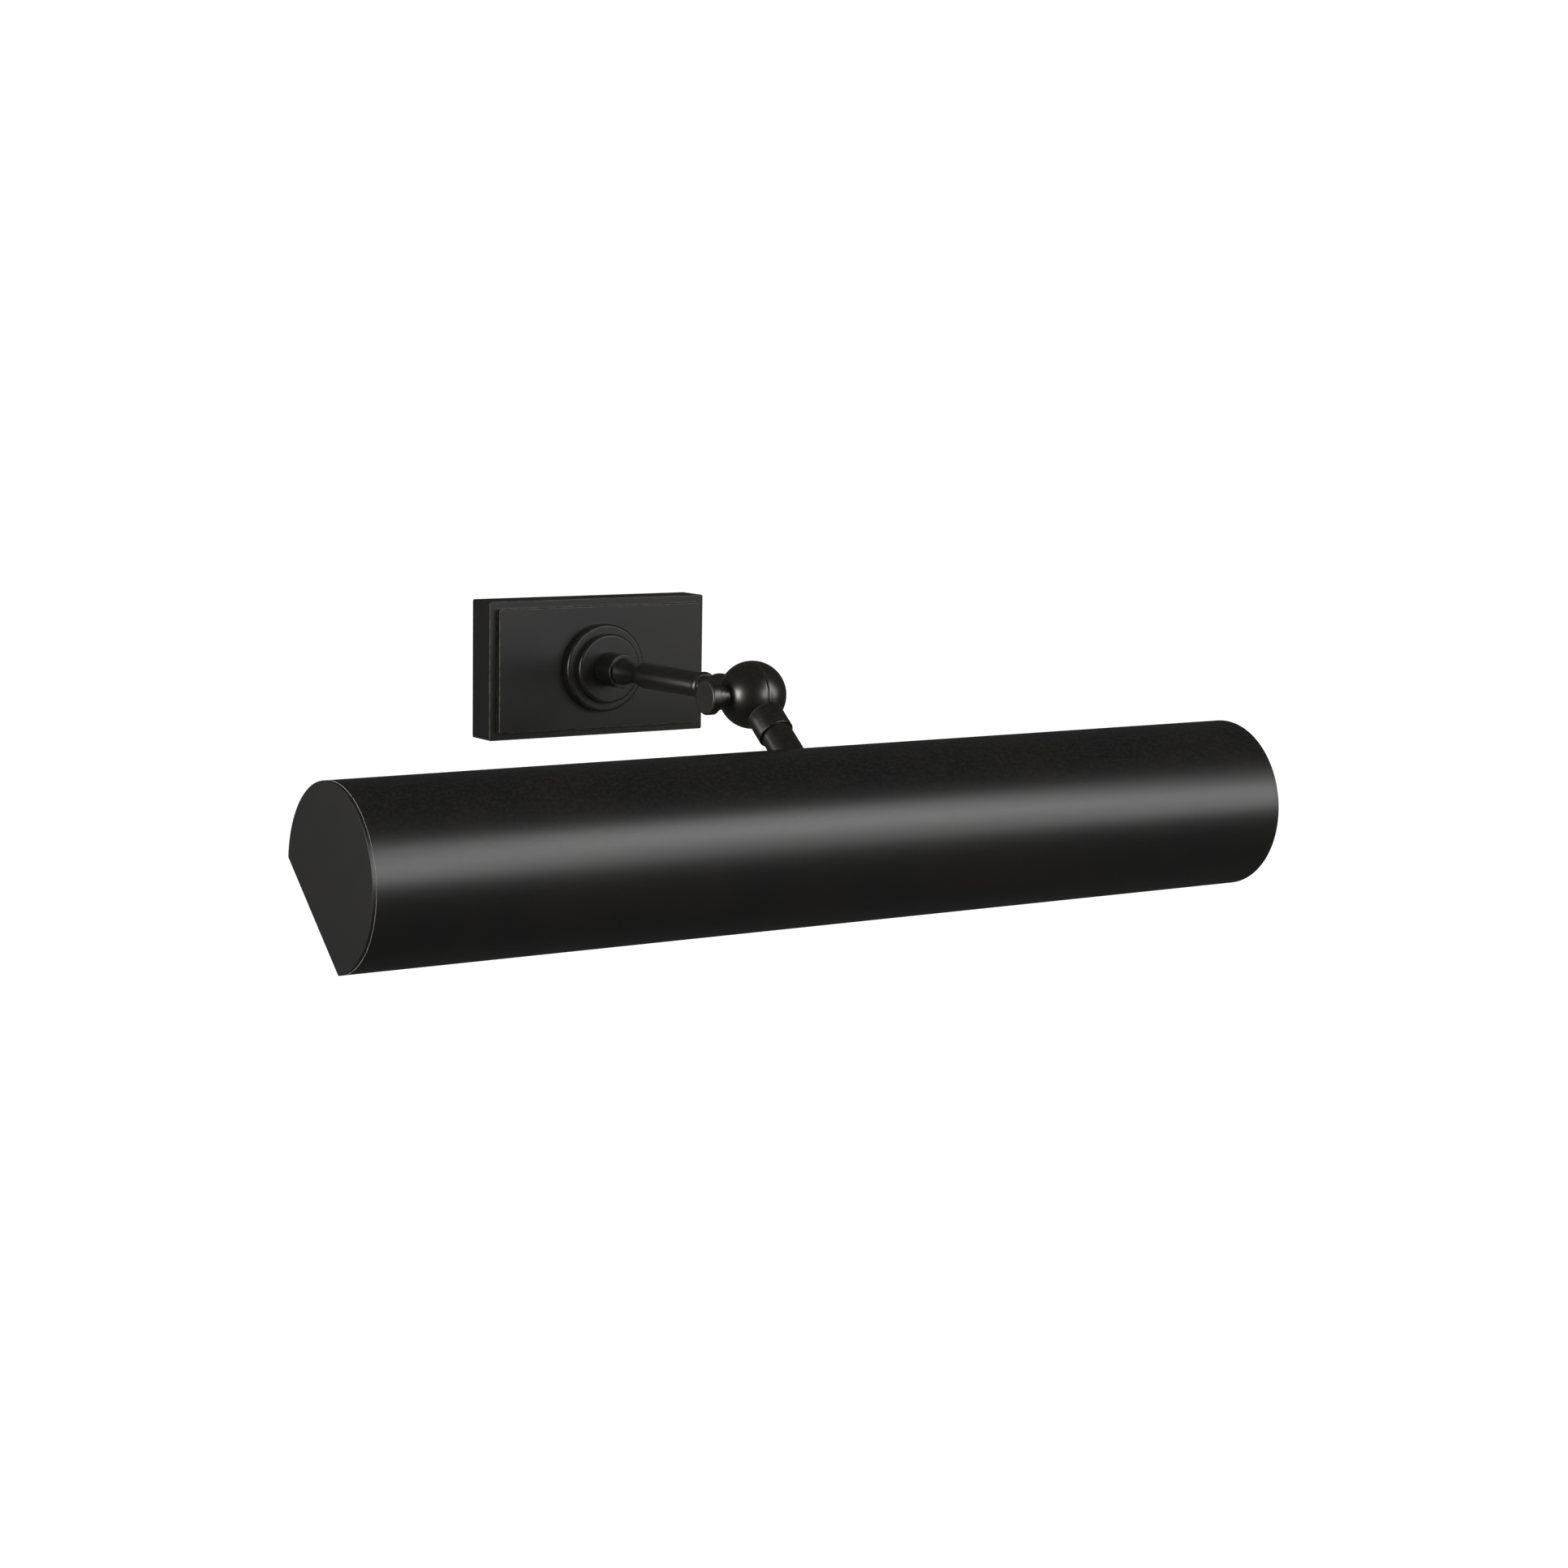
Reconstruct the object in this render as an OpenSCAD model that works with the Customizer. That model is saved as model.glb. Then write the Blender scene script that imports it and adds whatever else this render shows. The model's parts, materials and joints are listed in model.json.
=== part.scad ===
// Wall-mounted picture light: a box canopy, a turned arm with a two-part ball knuckle,
// and a long tubular shade cut open along a flat slanting plane.
// Origin: centre of the canopy's back rim. The wall is the plane Y = 0, the light
// stands out towards -Y, X runs along the shade and Z points up.

/* [Canopy] */
// Width of the canopy along the wall
canopy_w = 116; // [112:1:140]
// Height of the canopy
canopy_h = 65; // [54:1:80]
// Depth of the canopy's box, wall to front face
canopy_depth = 16.8; // [14:0.1:22]
// Thickness of the canopy's sides and front
canopy_wall = 1.6; // [1.2:0.1:2.2]
// Margin around the raised front panel
panel_inset = 3.6; // [2.5:0.1:6]
// Height of the raised front panel
panel_rise = 2.8; // [2:0.1:4]
// Radius of the canopy's corners seen from the front
canopy_corner = 0.9; // [0.5:0.1:2]

/* [Canopy screws and bracket] */
// Distance of the canopy screws from the wall
screw_out = 8; // [6:0.1:9]
// Radius of the round recess around each canopy screw
recess_r = 4.6; // [4.2:0.1:6]
// Depth of that recess
recess_depth = 1.8; // [1.2:0.1:2.2]
// Thickness of the canopy under the recess
recess_floor = 1.4; // [1:0.1:2]
// Radius of the canopy screw's head
screw_head_r = 3.7; // [3:0.1:4.1]
// Radius of the canopy screw's thread
screw_r = 2; // [1.5:0.1:2.4]
// Length of the canopy screw below its head
screw_len = 9; // [7:0.5:12]
// Length of the bracket's strap
strap_w = 106; // [100:1:108]
// Height of the bracket's strap
strap_h = 18; // [15:1:20]
// Thickness of the bracket's sheet
strap_t = 2; // [1.5:0.1:2.5]
// Width of the bracket's upright and its tapped tabs
tab_w = 16; // [13:1:20]
// Distance the tabs reach out from the wall
tab_reach = 12.5; // [11:0.1:13]
// Distance between the middles of the two slotted holes
slot_spacing = 79.4; // [76:0.1:84]
// End-to-end length of each slotted hole
slot_len = 14; // [10:0.1:16]
// Half the width of each slotted hole
slot_r = 2.3; // [2:0.1:2.6]
// Radius of the wiring hole in the middle of the bracket
wiring_hole_r = 10.5; // [8:0.1:12]
// Distance of the ground screw from the middle
ground_x = 23; // [19:0.5:26]

/* [Rosette and hub] */
// Radius of the larger rosette disc
rosette_outer_r = 20.7; // [18:0.1:24]
// Thickness of the larger rosette disc
rosette_outer_t = 4.8; // [4:0.1:6]
// Radius of the smaller rosette disc
rosette_inner_r = 16.4; // [12:0.1:17.5]
// Thickness of the smaller rosette disc
rosette_inner_t = 3.7; // [3:0.1:5]
// Rounding of the discs' front edges
rosette_edge = 1.4; // [0.5:0.1:2]
// Radius of the hub
hub_r = 8; // [7.6:0.1:9.5]
// Length of the hub
hub_len = 13; // [11:0.5:16]

/* [Arm] */
// Length of the arm from the hub to its end ring
arm_len = 71.4; // [59.5:0.1:86]
// Radius where the arm leaves the hub
arm_root_r = 6.3; // [5.8:0.1:7.5]
// Radius of the waist behind the swelling
arm_waist_r = 4.6; // [4.2:0.1:5.2]
// Distance from the hub to the waist
arm_waist_at = 12.4; // [10:0.1:14]
// Largest radius of the swelling
arm_belly_r = 6.1; // [5.6:0.1:7]
// Distance from the hub to the swelling
arm_belly_at = 20.9; // [18:0.1:24]
// Radius of the taper just before the end ring
arm_tip_r = 5.6; // [5:0.1:6]
// Radius of the end ring
arm_ring_r = 6.4; // [6:0.1:7.2]
// Width of the end ring
arm_ring_w = 3.6; // [3:0.1:5]
// Radius of the bore for the leads
arm_bore_r = 3; // [2.8:0.1:3.3]
// Radius of the threaded spigot that enters the hub
spigot_r = 5; // [4.8:0.1:5.4]

/* [Knuckle] */
// Distance from the arm's end to the middle of the ball
neck_len = 38.5; // [34:0.1:44]
// Radius of the ball
ball_r = 15; // [14.5:0.1:18]
// Place of the ball's seam along X
seam_x = -1; // [-2:0.1:1]
// Gap between the two halves of the ball
seam_gap = 0.34; // [0.3:0.01:0.5]
// Radius of the narrow part of the neck
neck_r = 4.8; // [4.4:0.1:5.2]
// Radius of the bead on the neck
bead_r = 7; // [6:0.1:8]
// Distance of the bead from the middle of the ball
bead_at = 26; // [24.5:0.1:28]
// Radius of the neck where it meets the ball
throat_r = 6; // [5.4:0.1:6.8]
// Radius of the threaded stub that enters the arm
stub_r = 4; // [3.8:0.1:4.2]
// Length of that stub
stub_len = 10; // [8:0.5:14]
// Radius of the wiring chamber inside the ball
chamber_r = 8.6; // [8:0.1:9]
// Depth of the chamber in each half, from the seam
chamber_depth = 5.6; // [5:0.1:6]
// Radius of the slanting lead passages
passage_r = 2.3; // [2:0.1:2.4]
// Outer radius of the friction washer between the halves
friction_r = 13.8; // [12.5:0.1:14.2]

/* [Clamp knob] */
// Radius of the stud that clamps the ball
stud_r = 2.5; // [2:0.1:2.6]
// Radius of the flat seat under the knob's washer
seat_r = 4.6; // [4.2:0.1:5]
// Radius of the washer's flange
flange_r = 6; // [5.6:0.1:7]
// Thickness of the washer's flange
flange_t = 2.9; // [2:0.1:3.4]
// Length of the washer's neck between ball and flange
flange_neck = 2.9; // [2:0.1:4]
// Radius of the knob
knob_r = 7.8; // [7:0.1:9.5]
// Thickness of the knob's rim
knob_t = 4.2; // [3.6:0.1:6]
// Width of the groove between knob and washer
knob_groove = 0.4; // [0.3:0.1:0.8]
// Rounding of the knob's edges
knob_edge = 0.8; // [0.3:0.1:1.4]

/* [Stem] */
// Slope of the stem below the horizontal
stem_fall = 38; // [20:1:60]
// Radius of the collar on the shade's half of the ball
collar_r = 8; // [7.8:0.1:9]
// Distance from the middle of the ball to the collar's end
collar_reach = 24.8; // [23:0.1:28]
// Radius of the stem
stem_r = 7.05; // [6.5:0.05:7.3]
// Radius of the stem's bore
stem_bore_r = 5.6; // [5:0.1:5.8]
// How far the stem is seated inside the collar
stem_seat = 7.2; // [6:0.1:8]

/* [Shade] */
// Overall length of the shade with its end caps
shade_len = 457; // [380:1:610]
// Outer radius of the shade's tube
shade_r = 38; // [36.5:0.1:46]
// Thickness of the shade's sheet
shade_wall = 1; // [0.8:0.1:1.5]
// Distance from the tube's axis to the plane of its opening
opening_drop = 23; // [20:0.1:28]
// Slope of the opening's outward direction below the horizontal
opening_fall = 48.5; // [30:0.5:70]
// Distance from the ball to the tube's axis, along the stem
shade_along = 76; // [74:0.5:90]
// Distance of the tube's axis from the stem's line
shade_off = 11; // [6:0.5:14]
// Thickness of an end cap
cap_t = 1.5; // [1:0.1:2.5]
// Depth of the end cap's inner flange
cap_flange = 5; // [3:0.5:8]
// Thickness of the end cap's inner flange
cap_flange_t = 1; // [0.8:0.1:1.5]
// Width of the folded hem along the opening
hem_w = 4; // [3:0.1:6]

/* [Lamps] */
// Radius of a lamp socket
socket_r = 11; // [9:0.1:12]
// Length of a lamp socket
socket_len = 38; // [30:0.5:45]
// Depth of the socket's mouth
socket_depth = 26; // [24:0.5:28]
// Radius of a bulb's screw base
base_r = 5.9; // [5.5:0.05:6]
// Length of a bulb's screw base
base_len = 20; // [18:0.5:22]
// Radius of a bulb's glass tube
glass_r = 10.3; // [9:0.1:11]
// Length of a bulb's glass tube
glass_len = 118; // [90:1:130]
// Thickness of the glass
glass_t = 0.7; // [0.5:0.1:1]
// Radius of an insulated lead
lead_r = 0.85; // [0.7:0.05:0.9]

/* [Fits] */
// Radial clearance of a stud or screw in its hole
slip = 0.1; // [0.05:0.05:0.2]
// Radial clearance of a threaded pair, drawn without its thread
thread_gap = 0.05; // [0.03:0.01:0.08]
// Clearance between the ball and the neck or collar that sweeps over it
sweep_gap = 0.3; // [0.25:0.05:0.5]

/* [Hidden] */
$fn = 64;
past = 1;
bronze = "#2b2724";
steel = "#a9abad";
brass = "#c9a24b";

// Distances out from the wall
panel_out = canopy_depth + panel_rise;
rosette_mid = panel_out + rosette_outer_t;
hub_out = rosette_mid + rosette_inner_t;
arm_out = hub_out + hub_len;
arm_end = arm_out + arm_len;
ball_out = arm_end + neck_len;

// Canopy, bracket and their screws
cup_depth = recess_depth + recess_floor;
tab_gap = 0.3;
tab_top = canopy_h / 2 - cup_depth - tab_gap;
strap_ring_r = wiring_hole_r + 4.5;
screw_head_h = recess_depth - 0.1;
slot_w = 0.9;
ground_head_r = 3.9;
ground_head_h = 2.2;
terminal_t = 0.8;

// Nipple that draws canopy, rosette and hub together
nipple_r = spigot_r;
nipple_bore_r = 3.5;
nipple_back = 9;
nut_across = 16;
nut_t = 3.5;
lockwasher_t = 0.8;
lockwasher_r = 8.5;
spigot_len = 6;
nipple_front = arm_out - spigot_len - 0.6;
inner_front = panel_out - canopy_wall;

// Knuckle and clamp, measured along X from the middle of the ball
face_arm = seam_x - seam_gap / 2;
face_shade = seam_x + seam_gap / 2;
washer_slack = 0.04;
friction_in_r = chamber_r + 0.6;
seat_x = -sqrt(pow(ball_r, 2) - pow(seat_r, 2));
flange_x = seat_x - flange_neck;
groove_x = flange_x - flange_t;
knob_back_x = groove_x - knob_groove;
knob_front_x = knob_back_x - knob_t;
knob_floor = 1.6;
stud_tip_x = 11;
lead_side = 4.7;
lead_bend = 8;

// Stem, saddle and socket bracket, measured along the stem from the ball
stem_start = collar_reach - stem_seat;
channel_t = 1.6;
saddle_at = shade_along - 26;
saddle_half = 10;
channel_floor = saddle_at + channel_t;
locknut_t = 4;
locknut_across = 20;
stem_end = channel_floor + locknut_t + 1.4;
bushing_t = 1;
channel_half = 15.6;
channel_end = shade_along + 12;
channel_low = shade_off + 11;
channel_high = 8;
skin_gap = 0.05;

// Splices between the stem's leads and the sockets' leads
splice_x = 3.4;
splice_y = 3;
splice_start = stem_end + 3;
splice_len = 8;

// Lamps, measured along X from the middle of the shade
socket_stub_r = 4.5;
socket_stub_in = 10;
socket_nut_t = 3;
socket_nut_across = 14;
socket_mouth = channel_half + socket_len;
socket_bottom = socket_mouth - socket_depth;
mouth_r = base_r + 0.4;
shell_t = 0.25;
contact_h = 0.9;
base_start = socket_bottom + contact_h + 1.6;
glass_start = base_start + base_len;
glass_neck = socket_mouth - glass_start + 0.4;
glass_neck_r = base_r - 1.2;

// ---- Places ----

// Local Z points out from the wall, local Y points up
module out_from_wall(out = 0) translate([0, -out, 0]) rotate([90, 0, 0]) children();

// Local X and Z as the whole light's, origin at the middle of the ball
module at_ball() translate([0, -ball_out, 0]) children();

// Local Z runs down the stem from the ball, local -Y points to the tube's axis
module down_stem() at_ball() rotate([stem_fall, 0, 0]) rotate([90, 0, 0]) children();

// Local X along the tube's axis, local -Z out of the opening
module at_shade()
    down_stem() translate([0, -shade_off, shade_along])
        rotate([-90, 0, 0]) rotate([-stem_fall, 0, 0])
            rotate([90 - opening_fall, 0, 0]) children();

// Local Z along the tube's axis, away from the middle, on one side
module at_lamp(side)
    down_stem() translate([0, -shade_off, shade_along]) rotate([0, 90 * side, 0]) children();

// Local Z along X, starting at x
module along_x(x) translate([x, 0, 0]) rotate([0, 90, 0]) children();

// Local Z points out of the canopy's top (side = 1) or underside (side = -1)
module at_canopy_edge(side)
    translate([0, -screw_out, side * canopy_h / 2]) rotate([side > 0 ? 0 : 180, 0, 0]) children();

// ---- Shapes ----

module rounded_rectangle(w, h, r) {
    square([w - 2 * r, h], center = true);
    square([w, h - 2 * r], center = true);
    for (x = [-1, 1], y = [-1, 1])
        translate([x * (w / 2 - r), y * (h / 2 - r)]) circle(r);
}

module slab(w, h, t, r) linear_extrude(t) rounded_rectangle(w, h, r);

module tube(outer, inner, len) difference() {
    cylinder(r = outer, h = len);
    translate([0, 0, -past]) cylinder(r = inner, h = len + 2 * past);
}

module hexagon(across, t) cylinder(r = across / 2 / cos(30), h = t, $fn = 6);

module nut(across, bore, t) difference() {
    hexagon(across, t);
    translate([0, 0, -past]) cylinder(r = bore, h = t + 2 * past);
}

// Points of an arc about (cx, cy)
function arc(cx, cy, r, from, to, n = 8) =
    [for (i = [0:n]) let (a = from + (to - from) * i / n) [cx + r * cos(a), cy + r * sin(a)]];

// Disc whose front edge is rounded, standing on Z = 0
module turned_disc(r, t, edge, bore) rotate_extrude() polygon(concat(
    [[bore, 0], [r, 0]], arc(r - edge, t - edge, edge, 0, 90), [[bore, t]]));

// Screw with its head above Z = 0, slotted across
module slotted_screw(head_r, head_h, r, len) {
    difference() {
        cylinder(r = head_r, h = head_h);
        translate([-head_r - past, -slot_w / 2, head_h / 2]) cube([2 * (head_r + past), slot_w, head_h]);
    }
    translate([0, 0, -len]) cylinder(r = r, h = len);
}

// The part of a ball on one side of a plane across X, side = -1 or 1
module cut_ball(r, x, side) rotate([0, 0, side > 0 ? 180 : 0]) intersection() {
    sphere(r);
    translate([-side * x - 4 * r, -2 * r, -2 * r]) cube(4 * r);
}

// Outline of the shade's section: a circle cut off below the opening's plane
module shade_outline(r) intersection() {
    circle(r);
    translate([-r, -opening_drop]) square([2 * r, opening_drop + r]);
}

// Extrusion along X of an outline in the shade's own frame
module shade_run(from, len) at_shade() translate([from, 0, 0]) rotate([90, 0, 90])
    linear_extrude(len) children();

// Smooth curve through given points, steps pieces between each pair
function curve_at(p, i, t) = let (
    a = p[max(i - 1, 0)], b = p[i], c = p[i + 1], d = p[min(i + 2, len(p) - 1)])
    0.5 * (2 * b + (c - a) * t + (2 * a - 5 * b + 4 * c - d) * pow(t, 2)
        + (3 * b - a - 3 * c + d) * pow(t, 3));
function smooth(p, steps) = concat(
    [for (i = [0:len(p) - 2], k = [0:steps - 1]) curve_at(p, i, k / steps)], [p[len(p) - 1]]);
function unit(v) = v / norm(v);

// Round lead along a smooth curve through the points; side is never along the curve
module lead(points, side, steps = 3) {
    path = smooth(points, steps);
    n = len(path);
    sides = 8;
    rings = [for (i = [0:n - 1]) let (
        along = unit(path[min(i + 1, n - 1)] - path[max(i - 1, 0)]),
        u = unit(cross(along, side)), v = cross(along, u))
        for (k = [0:sides - 1]) let (a = 360 * k / sides)
            path[i] + lead_r * (cos(a) * u + sin(a) * v)];
    walls = [for (i = [0:n - 2], k = [0:sides - 1]) let (m = (k + 1) % sides)
        [i * sides + k, (i + 1) * sides + k, (i + 1) * sides + m, i * sides + m]];
    start = [for (k = [0:sides - 1]) k];
    end = [for (k = [0:sides - 1]) n * sides - 1 - k];
    polyhedron(rings, concat(walls, [start], [end]));
}

// ---- Wall side ----

module canopy() color(bronze) difference() {
    union() {
        out_from_wall() slab(canopy_w, canopy_h, canopy_depth, canopy_corner);
        out_from_wall(canopy_depth)
            slab(canopy_w - 2 * panel_inset, canopy_h - 2 * panel_inset, panel_rise, canopy_corner);
    }
    difference() {
        union() {
            out_from_wall(-past) slab(canopy_w - 2 * canopy_wall, canopy_h - 2 * canopy_wall,
                canopy_depth - canopy_wall + past, canopy_corner / 2);
            out_from_wall(canopy_depth - 2 * canopy_wall)
                slab(canopy_w - 2 * (panel_inset + canopy_wall),
                    canopy_h - 2 * (panel_inset + canopy_wall),
                    panel_rise + canopy_wall, canopy_corner / 2);
        }
        for (side = [-1, 1]) at_canopy_edge(side)
            translate([0, 0, -cup_depth]) cylinder(r = recess_r + canopy_wall, h = cup_depth);
    }
    for (side = [-1, 1]) at_canopy_edge(side) {
        translate([0, 0, -recess_depth]) cylinder(r = recess_r, h = recess_depth + past);
        translate([0, 0, -cup_depth - past]) cylinder(r = screw_r + slip, h = cup_depth);
    }
    out_from_wall(canopy_depth - canopy_wall) cylinder(r = nipple_r + slip, h = panel_rise + canopy_wall + past);
}

module mounting_bracket() color(steel) difference() {
    union() {
        out_from_wall() linear_extrude(strap_t) {
            rounded_rectangle(strap_w, strap_h, 3);
            circle(strap_ring_r);
            square([tab_w, 2 * tab_top], center = true);
        }
        for (side = [-1, 1])
            translate([-tab_w / 2, -tab_reach, side > 0 ? tab_top - strap_t : -tab_top])
                cube([tab_w, tab_reach, strap_t]);
    }
    out_from_wall(-past) {
        cylinder(r = wiring_hole_r, h = strap_t + 2 * past);
        translate([ground_x, 0, 0]) cylinder(r = screw_r + thread_gap, h = strap_t + 2 * past);
        for (side = [-1, 1]) translate([side * slot_spacing / 2, 0, 0]) {
            linear_extrude(strap_t + 2 * past)
                square([slot_len - 2 * slot_r, 2 * slot_r], center = true);
            for (end = [-1, 1]) translate([end * (slot_len / 2 - slot_r), 0, 0])
                cylinder(r = slot_r, h = strap_t + 2 * past);
        }
    }
    translate([0, -screw_out, -canopy_h / 2]) cylinder(r = screw_r + thread_gap, h = canopy_h);
}

module canopy_screws() color(steel) for (side = [-1, 1])
    at_canopy_edge(side) translate([0, 0, -recess_depth])
        slotted_screw(screw_head_r, screw_head_h, screw_r, screw_len);

module ground_screw() color("#3d8a4a") out_from_wall(strap_t + terminal_t)
    translate([ground_x, 0, 0])
        slotted_screw(ground_head_r, ground_head_h, screw_r, strap_t + terminal_t - 0.2);

// Ring terminal under the ground screw, and its lead into the arm
module ground_lead() color("#4fa35c") {
    tongue = 4;
    start = ground_x - ground_head_r - 0.6;
    out_from_wall(strap_t) {
        translate([ground_x, 0, 0]) tube(ground_head_r, screw_r + slip, terminal_t);
        translate([start - tongue, -lead_r, 0]) cube([tongue + 1.2, 2 * lead_r, terminal_t]);
    }
    out_from_wall() lead([[start, 0, strap_t + 1.5], [start - tongue, 0, strap_t + 1.5],
        [11, 0, 4.6], [5, 0, 4.4], [1.9, 0, 6.4], [1.3, 0, 10], [1.3, 0, 22],
        [1.3, 0, arm_out - spigot_len], [1.3, 0, arm_out + 10]], [0, 1, 0]);
}

module nipple() color(brass) out_from_wall(nipple_back)
    tube(nipple_r, nipple_bore_r, nipple_front - nipple_back);

module nipple_nut() color(steel) out_from_wall(inner_front - lockwasher_t - nut_t)
    nut(nut_across, nipple_r + thread_gap, nut_t);

module nipple_lockwasher() color(steel) out_from_wall(inner_front - lockwasher_t)
    tube(lockwasher_r, nipple_r + slip, lockwasher_t);

module rosette_outer() color(bronze) out_from_wall(panel_out)
    turned_disc(rosette_outer_r, rosette_outer_t, rosette_edge, nipple_r + slip);

module rosette_inner() color(bronze) out_from_wall(rosette_mid)
    turned_disc(rosette_inner_r, rosette_inner_t, rosette_edge, nipple_r + slip);

module hub() color(bronze) out_from_wall(hub_out)
    turned_disc(hub_r, hub_len, 0.8, nipple_r + thread_gap);

// Arm: a cove behind a swelling, a long taper and an end ring, bored for the leads
function cove(n) = [for (i = [0:n]) let (t = i / n)
    [arm_waist_r + (arm_root_r - arm_waist_r) * pow(1 - t, 2), t * arm_waist_at]];
function swelling(n) = [for (i = [1:n]) let (t = i / n)
    [arm_waist_r + (arm_belly_r - arm_waist_r) * (1 - cos(180 * t)) / 2,
        arm_waist_at + t * (arm_belly_at - arm_waist_at)]];

module arm() color(bronze) out_from_wall(arm_out) {
    ring_start = arm_len - arm_ring_w;
    bulge = arm_ring_r - arm_tip_r;
    rotate_extrude() polygon(concat(
        [[arm_bore_r, -spigot_len], [spigot_r, -spigot_len], [spigot_r, 0]],
        cove(8), swelling(8),
        [[arm_tip_r, ring_start - 0.6]],
        [for (i = [0:8]) [arm_tip_r + bulge * sin(180 * i / 8), ring_start + arm_ring_w * i / 8]],
        [[stub_r + thread_gap, arm_len], [stub_r + thread_gap, arm_len - stub_len - 0.5],
            [arm_bore_r, arm_len - stub_len - 0.5]]));
}

// Each supply lead runs from its connector through nipple, hub and arm into the ball
module arm_lead(side) out_from_wall() lead([[-33, side * 16, 9], [-26, side * 15, 8.6],
    [-16, side * 10, 6.8], [-7, side * 5, 5], [-2.2, side * 2, 6], [-0.7, side * 1, 10],
    [-0.6, side * 1, 24], [-0.6, side * 1, arm_out], [-0.6, side * 1, arm_out + 36],
    [-0.6, side * 1, arm_end - stub_len], [-0.6, side * 1, ball_out - 31],
    [-2.2, side * 1, ball_out - 20], [-lead_side, side * 1, ball_out - lead_bend]], [0, 1, 0]);

module arm_lead_black() color("#1d1d1d") arm_lead(1);
module arm_lead_white() color("#e8e6df") arm_lead(-1);

// Twist-on cap, solid behind the mouth that takes the lead's end
module wire_connector(side) out_from_wall(9) translate([-31, side * 16, 0]) rotate([0, -90, 0])
    difference() {
        rotate_extrude() polygon(concat([[0, 0], [5.4, 0], [5.4, 7], [4.2, 8]],
            [[3.4, 18]], arc(2.4, 18, 1, 0, 90), [[0, 19]]));
        translate([0, 0, -past]) cylinder(r = 2.2, h = 6 + past);
    }

module wire_connector_black() color("#c8602a") wire_connector(1);
module wire_connector_white() color("#c8602a") wire_connector(-1);

// ---- Ball knuckle ----

// Neck: threaded stub, narrow stretch, bead, and the throat that runs into the ball
module neck() {
    bead_half = 5.6;
    top = neck_len - bead_at;
    out_from_wall(arm_end) rotate_extrude() polygon(concat(
        [[0, -stub_len], [stub_r, -stub_len], [stub_r, 0], [arm_tip_r - 0.5, 0], [neck_r, 1.4]],
        [for (i = [0:12]) let (t = -1 + 2 * i / 12, start = t < 0 ? neck_r : throat_r)
            [start + (bead_r - start) * sqrt(1 - t * t), top + t * bead_half]],
        [[throat_r, neck_len - 4], [0, neck_len - 4]]));
}

// Straight bore from a to b, run on past both ends
module passage(a, b) {
    run = b - a;
    translate(a) rotate([0, acos(run[2] / norm(run)), atan2(run[1], run[0])])
        translate([0, 0, -past]) cylinder(r = passage_r, h = norm(run) + 2 * past);
}

module knuckle_arm_half() color(bronze) difference() {
    union() {
        at_ball() cut_ball(ball_r, face_arm, -1);
        difference() {
            neck();
            at_ball() cut_ball(ball_r + sweep_gap, face_arm, 1);
        }
    }
    at_ball() {
        along_x(seam_x - chamber_depth) cylinder(r = chamber_r, h = chamber_depth + past);
        along_x(-ball_r - past) cylinder(r = stud_r + slip, h = ball_r);
        along_x(-ball_r - past) cylinder(r = seat_r, h = ball_r + past + seat_x);
    }
    out_from_wall(arm_end - stub_len - past) cylinder(r = arm_bore_r - 0.2, h = neck_len - bead_at + stub_len + past);
    out_from_wall(ball_out) passage([0, 0, -neck_len + 8], [-lead_side, 0, -lead_bend]);
}

module friction_washer() color("#6b5a45") at_ball() along_x(face_arm)
    tube(friction_r, friction_in_r, seam_gap - washer_slack);

module knob_washer() color(bronze) at_ball() along_x(groove_x) difference() {
    union() {
        rotate_extrude() polygon(concat([[0, 0]], arc(flange_r - 0.4, 0.4, 0.4, -90, 0),
            arc(flange_r - 0.4, flange_t - 0.4, 0.4, 0, 90), [[0, flange_t]]));
        cylinder(r = seat_r - slip, h = flange_t + flange_neck);
    }
    translate([0, 0, -past]) cylinder(r = stud_r + slip, h = flange_t + flange_neck + 2 * past);
}

module clamp_knob() color(bronze) at_ball() along_x(knob_front_x) difference() {
    union() {
        rotate_extrude() polygon(concat([[0, 0]],
            arc(knob_r - knob_edge, knob_edge, knob_edge, -90, 0),
            arc(knob_r - knob_edge / 2, knob_t - knob_edge / 2, knob_edge / 2, 0, 90),
            [[0, knob_t]]));
        cylinder(r = flange_r - 0.8, h = knob_t + knob_groove);
    }
    translate([0, 0, knob_floor]) cylinder(r = stud_r + thread_gap, h = knob_t + knob_groove);
}

module clamp_stud() color(steel) at_ball() along_x(knob_front_x + knob_floor)
    cylinder(r = stud_r, h = stud_tip_x - knob_front_x - knob_floor);

module knuckle_shade_half() color(bronze) difference() {
    union() {
        at_ball() cut_ball(ball_r, face_shade, 1);
        difference() {
            down_stem() translate([0, 0, 4]) turned_disc(collar_r, collar_reach - 4, 0.3, 0);
            at_ball() cut_ball(ball_r + sweep_gap, face_shade, -1);
        }
    }
    at_ball() {
        along_x(seam_x - past) cylinder(r = chamber_r, h = chamber_depth + past);
        along_x(0) cylinder(r = stud_r + thread_gap, h = stud_tip_x + 1.5);
    }
    down_stem() {
        translate([0, 0, stem_start]) cylinder(r = stem_r + thread_gap, h = stem_seat + past);
        passage([lead_side, 0, lead_bend], [lead_side - 2.6, 0, stem_start + 0.5]);
    }
}

// ---- Shade side ----

module stem() color(bronze) down_stem() translate([0, 0, stem_start])
    tube(stem_r, stem_bore_r, stem_end - stem_start);

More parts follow.
